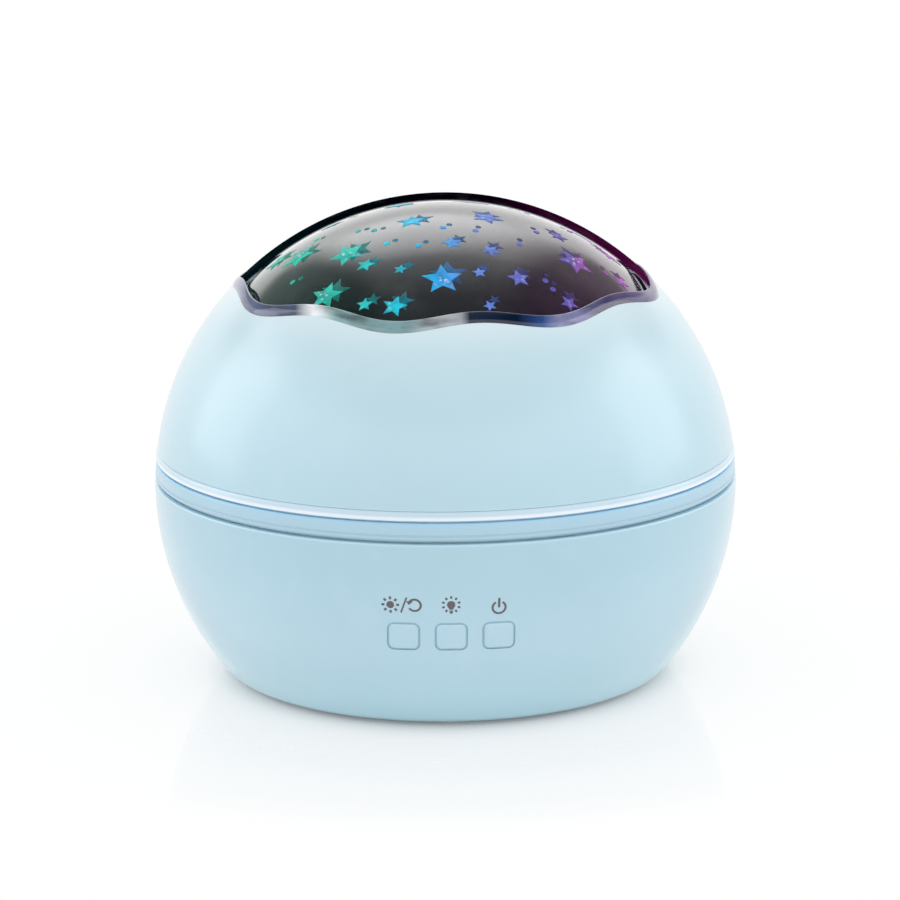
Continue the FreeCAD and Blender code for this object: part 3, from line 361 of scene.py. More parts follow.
def clear_window():
    """Clear hard plastic: nearly invisible face on, and made black at the rim, a painted dark reflection standing
    in for the dark surroundings that a clear wall shows where the sight line runs along it. Only its outer face
    darkens, so that a light line is left between the rim and the star dome. The painted rim is tinted faintly teal
    at the left end and plum at the right end."""
    made, tree, shader = material("clear_window", IOR=1.49, Specular_IOR_Level=0.0)
    dark = ramp(tree, across(tree, -46.0, 46.0), [
        (0.0, (0.0, 0.006, 0.008)), (0.3, (0.0, 0.001, 0.003)), (0.62, (0.002, 0.0, 0.003)),
        (0.9, (0.040, 0.001, 0.024)), (1.0, (0.07, 0.004, 0.045))])
    moulded(tree, shader, dark, 0.02, 0.00005, drift=0.01, rough=0.05, scale=900.0, grain=0.1, rubbing=0.02)
    from_middle = measure(tree, "DISTANCE", own_place(tree), (0.0, 0.0, CENTRE_Z * MM))
    outer = value(tree, "GREATER_THAN", from_middle, (BALL_R - 0.5 * CAP_WALL) * MM)
    # Painted dark reflection: the outer face turns black at the rim, by the angle of the sight line to it.
    facing = node(tree, "ShaderNodeLayerWeight", {"Blend": 0.5}).outputs["Facing"]
    rim = ramp(tree, facing, [(0.0, 0.0), (0.755, 0.0), (0.785, 0.98), (1.0, 1.0)])
    cover = value(tree, "ADD", 0.02, value(tree, "MULTIPLY", rim, outer), clamp=True)
    feed(tree, shader.inputs["Alpha"], cover)
    return made


def lip_painted_reflections():
    """Glassy bead with pale, sea-grey, navy and plum stretches along it: painted highlights and painted
    reflections, such as a thick clear edge shows over a dark dome, mottled by streaks.
    """
    made, tree, shader = material("lip_painted_reflections", IOR=1.5, Coat_Weight=0.5, Coat_Roughness=0.04)
    drawn = node(tree, "ShaderNodeMapping", {"Vector": own_place(tree), "Scale": (1.0, 1.0, 3.5)}).outputs[0]
    streaks = ramp(tree, noise(tree, drawn, 130.0, 3.0), [(0.34, 0.30), (0.48, 0.72), (0.62, 1.0)])
    # Painted highlights and reflections along the bead, from left to right: a white painted highlight, sea-grey
    # painted reflections, and navy and plum stretches painted in for the dark dome seen through it.
    painted_light_tint = ramp(tree, across(tree, -46.0, 46.0), [
        (0.0, (0.12, 0.15, 0.28)), (0.15, (0.06, 0.09, 0.16)), (0.19, (0.95, 0.96, 1.00)),
        (0.24, (0.27, 0.44, 0.45)), (0.40, (0.20, 0.35, 0.38)), (0.46, (0.42, 0.47, 0.50)),
        (0.53, (0.40, 0.43, 0.48)), (0.55, (0.01, 0.02, 0.05)), (0.66, (0.00, 0.01, 0.04)),
        (0.72, (0.03, 0.08, 0.26)), (0.76, (0.28, 0.29, 0.50)), (0.83, (0.17, 0.16, 0.32)),
        (0.87, (0.05, 0.04, 0.12)), (1.0, (0.15, 0.12, 0.28))])
    mixed = blend_colour(tree, 0.85, painted_light_tint, streaks, "MULTIPLY")
    moulded(tree, shader, mixed, 0.05, drift=0.02, rough=0.10, scale=800.0, grain=0.2, rubbing=0.02)
    return made


def dark_film():
    """Polished smoked plastic, painted faintly green at the left end and plum at the right end, painted coloured
    glow of the star lights on the dark film; neutral in the middle.
    """
    made, tree, shader = material("dark_film", IOR=1.5, Coat_Weight=1.0, Coat_Roughness=0.05, Coat_IOR=1.5)
    # Painted glow: green towards the left end, plum towards the right end.
    painted_light_tint = ramp(tree, across(tree, -45.0, 45.0), [
        (0.0, (0.006, 0.050, 0.038)), (0.3, (0.012, 0.022, 0.022)), (0.6, (0.014, 0.014, 0.020)),
        (1.0, (0.060, 0.020, 0.055))])
    moulded(tree, shader, painted_light_tint, 0.03, 0.00006, rough=0.16, scale=1200.0, grain=0.2, rubbing=0.03)
    return made


SKY_COLOURS = [(0.0, (0.02, 0.62, 0.42)), (0.22, (0.02, 0.60, 0.50)), (0.36, (0.01, 0.62, 0.82)),
               (0.48, (0.02, 0.44, 0.98)), (0.57, (0.13, 0.30, 0.86)), (0.70, (0.14, 0.17, 0.62)),
               (0.87, (0.15, 0.10, 0.50)), (0.91, (0.38, 0.11, 0.50)), (1.0, (0.46, 0.13, 0.52))]


def star_light(name, strength, darken, sparkle):
    """Tinted light behind a star window: its hue runs across the dome, and its heart, where the attribute
    "heart" is high, is paler and glittering."""
    made, tree, shader = material(name, Emission_Strength=strength, Roughness=0.45, Specular_IOR_Level=0.2)
    hue = ramp(tree, across(tree, -36.0, 36.0), SKY_COLOURS)
    place = own_place(tree)
    speck = node(tree, "ShaderNodeTexVoronoi", {"Vector": place, "Scale": 900.0}, feature="F1")
    glitter = ramp(tree, speck.outputs["Distance"], [(0.08, 1.0), (0.42, 0.0)])
    glitter = value(tree, "MULTIPLY", glitter, attribute(tree, "heart"))
    mottle = ramp(tree, noise(tree, place, 420.0, 3.0), [(0.35, 0.45), (0.65, 0.0)])
    dim = blend_colour(tree, darken, blend_colour(tree, mottle, hue, (0.02, 0.03, 0.08)), (0.0, 0.0, 0.0))
    lit = blend_colour(tree, value(tree, "MULTIPLY", glitter, sparkle, clamp=True), dim, (0.85, 0.95, 1.0))
    feed(tree, shader.inputs["Emission Color"], lit)
    feed(tree, shader.inputs["Base Color"], blend_colour(tree, 0.6, lit, (0.0, 0.0, 0.0)))
    return made


def circuit_board(name, mask, track):
    """Solder resist over copper tracks: a square maze of lighter lines and tinned dots."""
    made, tree, shader = material(name, IOR=1.5, Coat_Weight=0.4, Coat_Roughness=0.2)
    place = own_place(tree)
    darker = tuple(0.86 * c for c in mask)
    maze = node(tree, "ShaderNodeTexBrick", {"Vector": place, "Scale": 260.0, "Mortar Size": 0.035,
                                             "Color1": mask, "Color2": darker, "Mortar": track},
                offset=0.37, squash=1.0)
    dots = node(tree, "ShaderNodeTexVoronoi", {"Vector": place, "Scale": 420.0}, feature="F1")
    solder = ramp(tree, dots.outputs["Distance"], [(0.14, 1.0), (0.18, 0.0)])
    tinned = blend_colour(tree, solder, maze.outputs["Color"], (0.55, 0.55, 0.52))
    moulded(tree, shader, tinned, 0.2, rough=0.38, scale=3000.0)
    return made


def striped(name, stops, low, high, axis="X", rough=0.45):
    """Plastic or lacquer whose colour changes in steps along one axis, as side-by-side wires do."""
    made, tree, shader = material(name, IOR=1.47)
    bands = ramp(tree, across(tree, low, high, axis), stops, "CONSTANT")
    moulded(tree, shader, bands, rough=rough, rubbing=0.05)
    return made


# The upper shell is painted palest at its foot's edge, painted light that lifts the shade of the seam there, and
# grows lighter towards its opening, a painted highlight of the light from above.
UPPER_BLUE_PAINTED_LIGHT = pearl_plastic("upper_pearl_blue_painted_light", [
    (0.036, (0.62, 0.82, 0.90)), (0.045, (0.455, 0.660, 0.755)), (0.2, (0.467, 0.672, 0.766)),
    (0.5, (0.503, 0.706, 0.797)), (0.8, (0.565, 0.748, 0.825)), (1.0, (0.735, 0.855, 0.912))], 50, 90)
# The lower shell is painted lighter towards its foot, painted light from the floor below, and pale at its very
# rim, painted light that lifts the shade of the crease under the band.
LOWER_BLUE_PAINTED_LIGHT = pearl_plastic("lower_pearl_blue_painted_light", [
    (0.0, (0.505, 0.765, 0.860)), (0.44, (0.495, 0.705, 0.810)), (0.82, (0.425, 0.635, 0.740)),
    (0.99, (0.415, 0.620, 0.720)), (1.0, (0.55, 0.80, 0.92))], 0, 44.5)
# The ridge ring is painted a deeper blue low in the crease, painted shade, then nearly white on its lower
# rounding, painted light, and paler again at its top seam, painted light that lifts the seam's shade.
RIDGE_BLUE_PAINTED_LIGHT = pearl_plastic("ridge_blue_painted_light", [
    (0.10, (0.50, 0.71, 0.81)), (0.14, (0.38, 0.70, 0.94)), (0.18, (0.86, 0.93, 0.99)),
    (0.50, (0.80, 0.88, 0.95)), (0.68, (0.52, 0.68, 0.79)), (1.0, (0.62, 0.78, 0.87))], 48.6, 51.5, 0.6, 0.22)
# The band is painted pale at its foot, painted light that lifts the shade of the crease below it, and a deeper
# blue at its top, painted shade of the crease above it.
BAND_MILK_PAINTED_LIGHT = pearl_plastic("band_milky_blue_painted_light", [
    (0.0, (0.72, 0.92, 0.98)), (0.12, (0.40, 0.575, 0.68)), (0.6, (0.405, 0.61, 0.735)),
    (0.93, (0.41, 0.615, 0.745)), (1.0, (0.34, 0.70, 0.95))], 44.6, 49.0, 0.4, 0.34)
KEY_BLUE = pearl_plastic("key_pearl_blue", [
    (0.0, (0.490, 0.705, 0.810)), (1.0, (0.475, 0.680, 0.785))], 20, 28)
WINDOW = clear_window()
LIP_PAINTED_REFLECTIONS = lip_painted_reflections()
FILM = dark_film()
STAR = star_light("star_light", 0.62, 0.0, 1.0)
# Painted glow: dim light for the stars' glowing copies on the dark film, though nothing lights them.
PAINTED_STAR_GLOW = star_light("painted_star_glow", 0.36, 0.55, 0.1)
INK = even_plastic("print_ink", (0.135, 0.115, 0.125), {"IOR": 1.45}, bump=0.2, depth=0.00002, drift=0.08,
                   rough=0.55, scale=5200.0, grain=0.8)
UNDERSIDE = plain_plastic("underside_blue", (0.42, 0.62, 0.72), 0.55, 1100.0, 0.45)
WHITE = plain_plastic("white_moulding", (0.80, 0.80, 0.77), 0.45)
ACETAL = plain_plastic("gear_acetal", (0.82, 0.80, 0.72), 0.35, 900.0, 0.12)
BLACK = plain_plastic("black_moulding", (0.018, 0.018, 0.02), 0.42, 1800.0, 0.3)
CHIPS = plain_plastic("component_case", (0.03, 0.03, 0.033), 0.5, 2600.0, 0.4)
STEEL = metal("zinc_plated_steel", (0.62, 0.61, 0.58), 0.28)
CAN_STEEL = metal("drawn_motor_can", (0.55, 0.55, 0.54), 0.36, 1400.0)
SOCKET_STEEL = metal("tinned_socket", (0.66, 0.66, 0.65), 0.24, 3200.0)
GREEN_BOARD = circuit_board("green_board", (0.02, 0.15, 0.06), (0.07, 0.27, 0.12))
WHITE_BOARD = circuit_board("white_lamp_board", (0.72, 0.73, 0.71), (0.60, 0.61, 0.58))
PHOSPHOR = plain_plastic("lamp_phosphor", (0.90, 0.72, 0.22), 0.4, 3000.0, 0.2)
LAMP = even_plastic("clear_lamp", (0.86, 0.92, 1.0), {"IOR": 1.5, "Transmission_Weight": 0.85}, bump=0.03,
                    depth=0.00005, drift=0.01, rough=0.06, scale=1200.0, grain=0.1, rubbing=0.01)
RUBBER = even_plastic("soft_rubber", (0.62, 0.66, 0.69), {"IOR": 1.5, "Sheen_Weight": 0.3}, bump=0.5,
                      depth=0.0002, drift=0.05, rough=0.8, scale=1600.0, grain=0.9, rubbing=0.15)
CELL = striped("cell_sleeve", [
    (0.0, (0.62, 0.61, 0.58)), (0.03, (0.05, 0.06, 0.08)), (0.25, (0.10, 0.30, 0.42)),
    (0.32, (0.05, 0.06, 0.08)), (0.95, (0.62, 0.61, 0.58))], -22.5, 22.5, "Y", 0.35)
MOTOR_WIRE = striped("motor_wires", [(0.0, (0.45, 0.02, 0.02)), (0.5, (0.02, 0.02, 0.02))], -8.0, 8.0, "Y")
LAMP_WIRE = striped("lamp_wires", [
    (0.0, (0.03, 0.10, 0.45)), (0.42, (0.62, 0.62, 0.58)), (0.58, (0.5, 0.03, 0.03))], -3.0, 3.0)
CELL_WIRE = striped("cell_wires", [(0.0, (0.02, 0.02, 0.02)), (0.5, (0.5, 0.03, 0.03))], -9.0, 9.0)
KEY_WIRE = striped("key_wires", [
    (0.0, (0.55, 0.40, 0.03)), (0.25, (0.6, 0.6, 0.57)), (0.5, (0.03, 0.30, 0.12)),
    (0.75, (0.25, 0.06, 0.35))], -3.0, 3.0)


# ---- camera, floor and light
def look(obj, target, roll=0.0):
    """Turns an object's -Z to a target, with its Y up, then rolls it about its own axis."""
    way = (Vector(target) - obj.location).to_track_quat("-Z", "Y").to_matrix()
    obj.rotation_euler = (way @ Matrix.Rotation(math.radians(roll), 3, "Z")).to_euler()


def make_camera():
    """Camera 850 mm from the ball's centre, 13.8 degrees above it and 0.9 degrees to the left of the front. Its
    lens makes the ball's radius 290.2 of 900 pixels, and its aim lies 4.8 pixels right of and 32 above the
    centre."""
    distance, rise, turn = 850.0, math.radians(13.8), math.radians(-0.9)
    focal_px = 290.2 * math.sqrt(distance ** 2 - BALL_R ** 2) / BALL_R
    data = bpy.data.cameras.new("camera")
    data.sensor_width = 36.0
    data.lens = 36.0 * focal_px / 900.0
    camera = link("camera", data)
    centre = Vector((0, 0, CENTRE_Z * MM))
    back = Vector((math.sin(turn) * math.cos(rise), -math.cos(turn) * math.cos(rise), math.sin(rise)))
    camera.location = centre + back * distance * MM
    right = Vector((math.cos(turn), math.sin(turn), 0))
    up = back.cross(right)
    px = distance / focal_px * MM
    look(camera, centre + right * 4.8 * px + up * 32.0 * px, -0.44)
    bpy.context.scene.camera = camera


def mix_shader(tree, factor, first, second):
    return node(tree, "ShaderNodeMixShader", {0: factor, 1: first.outputs[0], 2: second.outputs[0]})


def make_floor():
    """Large polished white floor. Near the lamp it holds the contact shadow and a clear mirror image, which both
    fade outwards into an even white. It is clear under the base and its feet, and seen from below, so that the
    underside is lit and can be looked at."""
    finish, tree, shader = material("floor_white")
    tree.nodes.remove(shader)
    place = own_place(tree)
    reach = measure(tree, "LENGTH", place)
    tone = ramp(tree, noise(tree, place, 3.0), [(0.3, 0.88), (0.7, 0.91)])
    plain = node(tree, "ShaderNodeBsdfDiffuse", {"Color": tone})
    even = node(tree, "ShaderNodeEmission")
    mirror = node(tree, "ShaderNodeBsdfGlossy", {"Color": (0.90, 0.98, 1.0), "Roughness": 0.06})
    whiter = ramp(tree, reach, [(0.044, 0.0), (0.050, 0.35), (0.056, 0.74), (0.072, 0.93), (0.095, 1.0)])
    polish = ramp(tree, reach, [(0.045, 0.13), (0.075, 0.18), (0.095, 0.12), (0.122, 0.0)], "EASE")
    path = node(tree, "ShaderNodeLightPath").outputs
    shown = value(tree, "MAXIMUM", path["Is Camera Ray"], path["Is Glossy Ray"])
    shown = value(tree, "MAXIMUM", shown, path["Is Transmission Ray"])
    top = mix_shader(tree, value(tree, "MULTIPLY", shown, whiter), plain, even)
    top = mix_shader(tree, polish, top, mirror)
    clear = value(tree, "LESS_THAN", reach, CLEAR_R * MM)
    folded = node(tree, "ShaderNodeVectorMath", {0: place}, operation="ABSOLUTE").outputs[0]
    for foot in ((FOOT_CIRCLE_R * MM, 0.0, 0.0), (0.0, FOOT_CIRCLE_R * MM, 0.0)):
        near = value(tree, "LESS_THAN", measure(tree, "DISTANCE", folded, foot), FOOT_R * MM)
        clear = value(tree, "MAXIMUM", clear, near)
    below = node(tree, "ShaderNodeNewGeometry").outputs["Backfacing"]
    sides = mix_shader(tree, value(tree, "MAXIMUM", below, clear), top, node(tree, "ShaderNodeBsdfTransparent"))
    feed(tree, tree.nodes["Material Output"].inputs[0], sides.outputs[0])
    side, drop = 4.0, -0.03 * MM
    mesh = bpy.data.meshes.new("floor")
    mesh.from_pydata([(-side, -side, drop), (side, -side, drop), (side, side, drop), (-side, side, drop)], [],
                     [(0, 1, 2, 3)])
    mesh.materials.append(finish)
    floor = link("floor", mesh)


def make_world():
    """Soft light, a little stronger from the camera's side. Reflections see white low down all round, a darker
    ceiling, a pale wall straight behind, and a bright patch high up behind."""
    world = bpy.data.worlds.new("studio")
    bpy.context.scene.world = world
    world.use_nodes = True
    tree = world.node_tree
    tree.nodes.clear()
    direction = node(tree, "ShaderNodeTexCoord").outputs["Generated"]
    behind = measure(tree, "DOT_PRODUCT", direction, (0.0, 0.9706, 0.2408))
    wall = ramp(tree, behind, [(0.0, 0.10), (0.30, 0.17), (0.49, 0.42), (0.66, 0.80), (0.70, 1.15),
                               (0.93, 1.50), (1.0, 1.0)])
    way = node(tree, "ShaderNodeSeparateXYZ", {0: direction}).outputs
    narrow = ramp(tree, value(tree, "ABSOLUTE", way["X"]), [(0.24, 1.0), (0.44, 0.20)], "EASE")
    room = blend_colour(tree, 1.0, wall, narrow, "MULTIPLY")
    patch = measure(tree, "DOT_PRODUCT", direction, (-0.06, 0.750, 0.659))
    glow = ramp(tree, patch, [(0.93, 0.0), (0.995, 1.0)], "EASE")
    room = blend_colour(tree, value(tree, "MULTIPLY", glow, 0.8), room, (2.5, 2.5, 2.55))
    height = value(tree, "ADD", way["Z"], ramp(tree, way["Y"], [(0.2, 0.0), (0.6, 0.25)]))
    room = blend_colour(tree, ramp(tree, height, [(0.50, 1.0), (0.62, 0.0)], "EASE"), room, (1.0, 1.0, 1.0))
    path = node(tree, "ShaderNodeLightPath").outputs
    seen = value(tree, "MAXIMUM", path["Is Glossy Ray"], path["Is Transmission Ray"])
    front = value(tree, "MULTIPLY", behind, -1.0, clamp=True)
    soft = blend_colour(tree, seen, ramp(tree, front, [(0.0, 0.95), (1.0, 1.20)]), room)
    both = blend_colour(tree, path["Is Camera Ray"], soft, (1.0, 1.0, 1.0))
    light = node(tree, "ShaderNodeBackground", {0: both})
    node(tree, "ShaderNodeOutputWorld", {0: light.outputs[0]})


def softbox(name, place):
    """Soft lamp beside the ball, 0.40 m by 0.46 m, of 0.6 W."""
    data = bpy.data.lights.new(name, "AREA")
    data.shape = "RECTANGLE"
    data.size, data.size_y, data.energy = 0.40, 0.46, 0.60
    lamp = link(name, data)
    lamp.location = place
    look(lamp, (0, 0, 0.05))


# ---- shells
def wave_plan(azimuth, inward):
    """Plan radius of the wavy line: its middle radius, less an inward step, less
    amplitude * cos(8 (azimuth - turn))."""
    return OPENING_R - inward - WAVE_AMPLITUDE * np.cos(WAVES * (azimuth - math.radians(WAVE_TURN)))


def wave_latitude(azimuth, inward):
    return np.degrees(np.arccos(wave_plan(azimuth, inward) / BALL_R))


def latitudes(low, high, count):
    """Rows of latitudes, one row for each azimuth, from low to high; either may differ with azimuth."""
    t = np.linspace(0, 1, count)[None, :]
    low, high = np.atleast_1d(low)[:, None], np.atleast_1d(high)[:, None]
    return low + (high - low) * t


def sphere_rows(latitude, radius):
    angle = np.radians(latitude)
    return np.stack([radius * np.cos(angle), radius * np.sin(angle)], -1)


def upper_shell():
    """Ball shell from the ridge up to the wavy edge: outer arc, rounded edge, rebate for the bead, inner arc."""
    azimuth = round_steps()
    foot = math.degrees(math.asin(RIDGE_Z1 / BALL_R))
    edge = wave_latitude(azimuth, 0.0)
    outer = sphere_rows(latitudes(foot + 0.15, edge - EDGE_TURN, 60), BALL_R)
    turn = np.radians(np.linspace(0, 90, 6))[None]
    lip = sphere_rows(edge[:, None] - EDGE_TURN * (1 - np.sin(turn)), BALL_R - EDGE_DROP * (1 - np.cos(turn)))
    step = sphere_rows(latitudes(edge, wave_latitude(azimuth, REBATE_W), 3), REBATE_R)
    inner = sphere_rows(latitudes(wave_latitude(azimuth, REBATE_W), foot + 0.3, 40), INNER_R)
    under = np.array([[on_ball(RIDGE_Z1, INNER_R), RIDGE_Z1], [on_ball(RIDGE_Z1) - 0.12, RIDGE_Z1]])
    under = np.broadcast_to(under, (len(azimuth), 2, 2))
    profile = np.concatenate([outer, lip, step, inner, under], 1)
    piece = turned("upper_shell", profile, UPPER_BLUE_PAINTED_LIGHT)
    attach(piece, "cover")
    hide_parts("wave_shell")


def cap_pieces():
    """Clear window from the bead's inner edge to the pole, and the bead: a half-round standing on the wavy
    line."""
    azimuth = round_steps()
    start = wave_latitude(azimuth, LIP_W - 0.3)
    outer = sphere_rows(latitudes(start, TOP_LATITUDE, DOME_ROWS), BALL_R - 0.05)
    inner = sphere_rows(latitudes(TOP_LATITUDE, start, DOME_ROWS), BALL_R - CAP_WALL)
    window = turned_cap("cap_window", outer, inner, WINDOW)
    out_edge, in_edge = wave_plan(azimuth, 0.08)[:, None], wave_plan(azimuth, LIP_W)[:, None]
    t = np.linspace(-1, 1, 25)[None, :]
    plan = out_edge + (in_edge - out_edge) * (t + 1) / 2
    rise = BEAD_H * np.sqrt(np.maximum(0.0, 1 - t ** 2)) - BEAD_TUCK * np.abs(t) ** 6
    radius = BALL_R - 0.02 + rise
    top = np.stack([plan, np.sqrt(radius ** 2 - plan ** 2)], -1)
    seat_r = REBATE_R + 0.07
    below = np.stack([plan[:, ::-4], np.sqrt(seat_r ** 2 - plan[:, ::-4] ** 2)], -1)
    bead = turned("cap_bead", np.concatenate([top, below], 1), LIP_PAINTED_REFLECTIONS, crease=50.0)
    for piece in (window, bead):
        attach(piece, "cover")
        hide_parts("clear_cap")


def turned_cap(name, outer, inner, finish):
    """Turned dome closed at its pole: outer rows up to the pole point, then inner rows down, then the foot."""
    steps, rows = outer.shape[:2]
    azimuth = round_steps(steps)[:, None]
    count = steps * rows
    rise = 0.0006 * BALL_R
    poles = [(0, 0, outer[0, -1, 1] + rise), (0, 0, inner[0, 0, 1] + rise)]
    points = np.concatenate([carried(outer, azimuth).reshape(-1, 3), carried(inner, azimuth).reshape(-1, 3),
                             poles])
    i, on = around(steps)
    crown = fan(i * rows + rows - 1, on * rows + rows - 1, 2 * count)
    crown_in = fan(count + on * rows, count + i * rows, 2 * count + 1)
    foot = np.stack([count + i * rows + rows - 1, count + on * rows + rows - 1, on * rows, i * rows], -1)
    return add_mesh(name, points, [grid_faces(steps, rows, True), grid_faces(steps, rows, True, False, count),
                                   crown, crown_in, foot], finish)


def ridge_ring():
    """Foot of the cover: a rounded ridge, its spigot below, and a tongue above, as one turned profile."""
    low, high = on_ball(RIDGE_Z0), on_ball(RIDGE_Z1)
    profile = softened([(SPIGOT_R0, BAND_Z0 + 1.25, 0.1), (SPIGOT_R1, BAND_Z0 + 1.25, 0.3),
                        (SPIGOT_R1, RIDGE_Z0, 0.05), (low + 0.05, RIDGE_Z0, 0.75), (low + 0.12, 8.2, 0.5),
                        (high + 0.02, RIDGE_Z1 - 0.1, 0.55), (high - 0.9, RIDGE_Z1, 0.05),
                        (SPIGOT_R0, RIDGE_Z1, 0.05)], 8)
    piece = turned("ridge_ring", profile, RIDGE_BLUE_PAINTED_LIGHT)
    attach(piece, "cover")
    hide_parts("cover_ring")


def middle_band():
    """Milky band: rounded upper edge, flat face, a fine line, a narrow lower lip, an inward flange and a skirt."""
    wall_r = SPIGOT_R1 + 0.2
    face = on_ball(5.0)
    profile = softened([(61.8, -2.9, 0.05), (62.9, -2.9, 0.2), (62.9, BAND_Z0, 0.05), (face - 0.55, BAND_Z0, 0.1),
                        (face + 0.05, BAND_Z0 + 0.55, 0.3), (face + 0.02, 4.0, 0.1), (face - 0.14, 4.12, 0.05),
                        (face - 0.14, 4.3, 0.05), (face, 4.42, 0.1), (on_ball(BAND_Z1), BAND_Z1, 0.55),
                        (wall_r, BAND_Z1, 0.15), (wall_r, 3.9, 0.1), (60.1, 3.9, 0.1), (60.1, BAND_Z0, 0.1),
                        (61.8, BAND_Z0, 0.1)], 5)
    piece = turned("middle_band", profile, BAND_MILK_PAINTED_LIGHT)
    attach(piece, "base")
    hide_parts("band_ring")


ACROSS, UPWARD, FORWARD = np.array([[1.0, 0.0, 0.0], [0.0, 0.0, 1.0], [0.0, -1.0, 0.0]])


def plate_outline(width, height, corner, per_corner=7):
    """Rounded rectangle, counter-clockwise, as an array of (across, up)."""
    turn = np.radians(np.linspace(0, 90, per_corner))
    quarter = np.stack([np.cos(turn), np.sin(turn)], -1) * corner
    parts = []
    for k, (sx, sy) in enumerate(((1, 1), (-1, 1), (-1, -1), (1, -1))):
        c, s = round(math.cos(k * math.pi / 2)), round(math.sin(k * math.pi / 2))
        spun = quarter @ np.array([[c, s], [-s, c]])
        parts.append(spun + (sx * (width / 2 - corner), sy * (height / 2 - corner)))
    return np.concatenate(parts)


def prism(outline, centre, u, v, n, low, high):
    """Cutter: an outline carried along n from low to high, with flat ends, as a mesh in the ball's frame."""
    flat = centre + outline[:, :1] * u + outline[:, 1:] * v
    points = np.concatenate([flat + n * low, flat + n * high])
    count = len(outline)
    i, on = around(count)
    sides = np.stack([i, on, on + count, i + count], -1)
    ends = np.stack([i[::-1], i + count])
    return add_mesh("cutter", points, [sides, ends], LOWER_BLUE_PAINTED_LIGHT)


def lower_bowl():
    """Lower shell: a flat foot, a rounded corner of 5 mm, the ball up to a rounded rim, the inner ball and the
    ledge in the floor, as one turned profile; then the key windows and the inlet are cut through it."""
    middle = (0.0, LOWER_LIFT)
    corner_z = FLOOR_Z + FLOOR_EDGE_R
    centre = (on_ball(corner_z - LOWER_LIFT, BALL_R - FLOOR_EDGE_R), corner_z)
    slope = math.degrees(math.atan2(corner_z - LOWER_LIFT, centre[0]))
    rim = math.degrees(math.asin((RIM_Z - 0.45 - LOWER_LIFT) / BALL_R))
    rim_r = on_ball(RIM_Z - LOWER_LIFT)
    ledge = math.degrees(math.asin((LEDGE_Z1 - LOWER_LIFT) / INNER_R))
    profile = np.concatenate([
        [(RECESS_R, FLOOR_Z)], arc(FLOOR_EDGE_R, -90, slope, 12, centre), arc(BALL_R, slope + 1, rim, 60, middle),
        [(rim_r - 0.03, RIM_Z - 0.22), (rim_r - 0.13, RIM_Z - 0.07), (rim_r - 0.32, RIM_Z)],
        [(on_ball(RIM_Z - LOWER_LIFT, INNER_R), RIM_Z)], arc(INNER_R, 0.5, ledge, 40, middle),
        [(LEDGE_R, LEDGE_Z1), (LEDGE_R, LEDGE_Z0), (RECESS_R, LEDGE_Z0)]])
    bowl = turned("lower_bowl", profile, LOWER_BLUE_PAINTED_LIGHT)
    window = plate_outline(BUTTON_W + 2 * BUTTON_GAP, BUTTON_H + 2 * BUTTON_GAP, BUTTON_CORNER + BUTTON_GAP)
    inlet = plate_outline(INLET_W, INLET_H, INLET_CORNER)
    cut_from, cut_to = BALL_R - 15.0, BALL_R + 5.0
    cutters = [prism(window, ACROSS * (k - 1) * BUTTON_PITCH + UPWARD * BUTTON_Z, ACROSS, UPWARD, FORWARD,
                     cut_from + 2.0, cut_to) for k in range(3)]
    cutters.append(prism(inlet, UPWARD * frame_height("power_socket"), -ACROSS, UPWARD, -FORWARD, cut_from,
                         cut_to))
    for cutter in cutters:
        cut = bowl.modifiers.new("cut", "BOOLEAN")
        cut.operation, cut.solver, cut.object = "DIFFERENCE", "EXACT", cutter
    bpy.context.view_layer.update()
    evaluated = bowl.evaluated_get(bpy.context.evaluated_depsgraph_get())
    mesh = bpy.data.meshes.new_from_object(evaluated)
    bowl.modifiers.clear()
    bowl.data = mesh
    for cutter in cutters:
        bpy.data.objects.remove(cutter)
    ball_normals(mesh)
    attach(bowl, "base")
    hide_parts("base_shell")


def frame_height(name):
    """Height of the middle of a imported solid, from the ball's centre."""
    low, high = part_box(name)
    return ((low.z + high.z) / 2) / MM - CENTRE_Z


def read(items, label, width=1, kind=float):
    """A mesh's values as an array with one row for each item."""
    found = np.zeros(len(items) * width, kind)
    items.foreach_get(label, found)
    return found.reshape(-1, width)


def ball_normals(mesh):
    """Gives each face corner on the outer or inner ball the ball's own normal, and leaves the others sharp."""
    mesh.shade_smooth()
    mesh.set_sharp_from_angle(angle=math.radians(30))
    places = read(mesh.vertices, "co", 3) / MM - (0, 0, CENTRE_Z + LOWER_LIFT)
    at = places[read(mesh.loops, "vertex_index", 1, np.int32)[:, 0]]
    sides = read(mesh.polygons, "loop_total", 1, np.int32)[:, 0]
    face_normals = np.repeat(read(mesh.polygons, "normal", 3), sides, 0)
    normals = read(mesh.corner_normals, "vector", 3)
    distance = np.linalg.norm(at, axis=1, keepdims=True)
    radial = at / np.maximum(distance, 1e-9)
    facing = (radial * face_normals).sum(1)
    for radius, way in ((BALL_R, 1), (INNER_R, -1)):
        on_it = (np.abs(distance[:, 0] - radius) < 0.02) & (way * facing > 0.96)
        normals[on_it] = way * radial[on_it]
    mesh.normals_split_custom_set(normals.tolist())


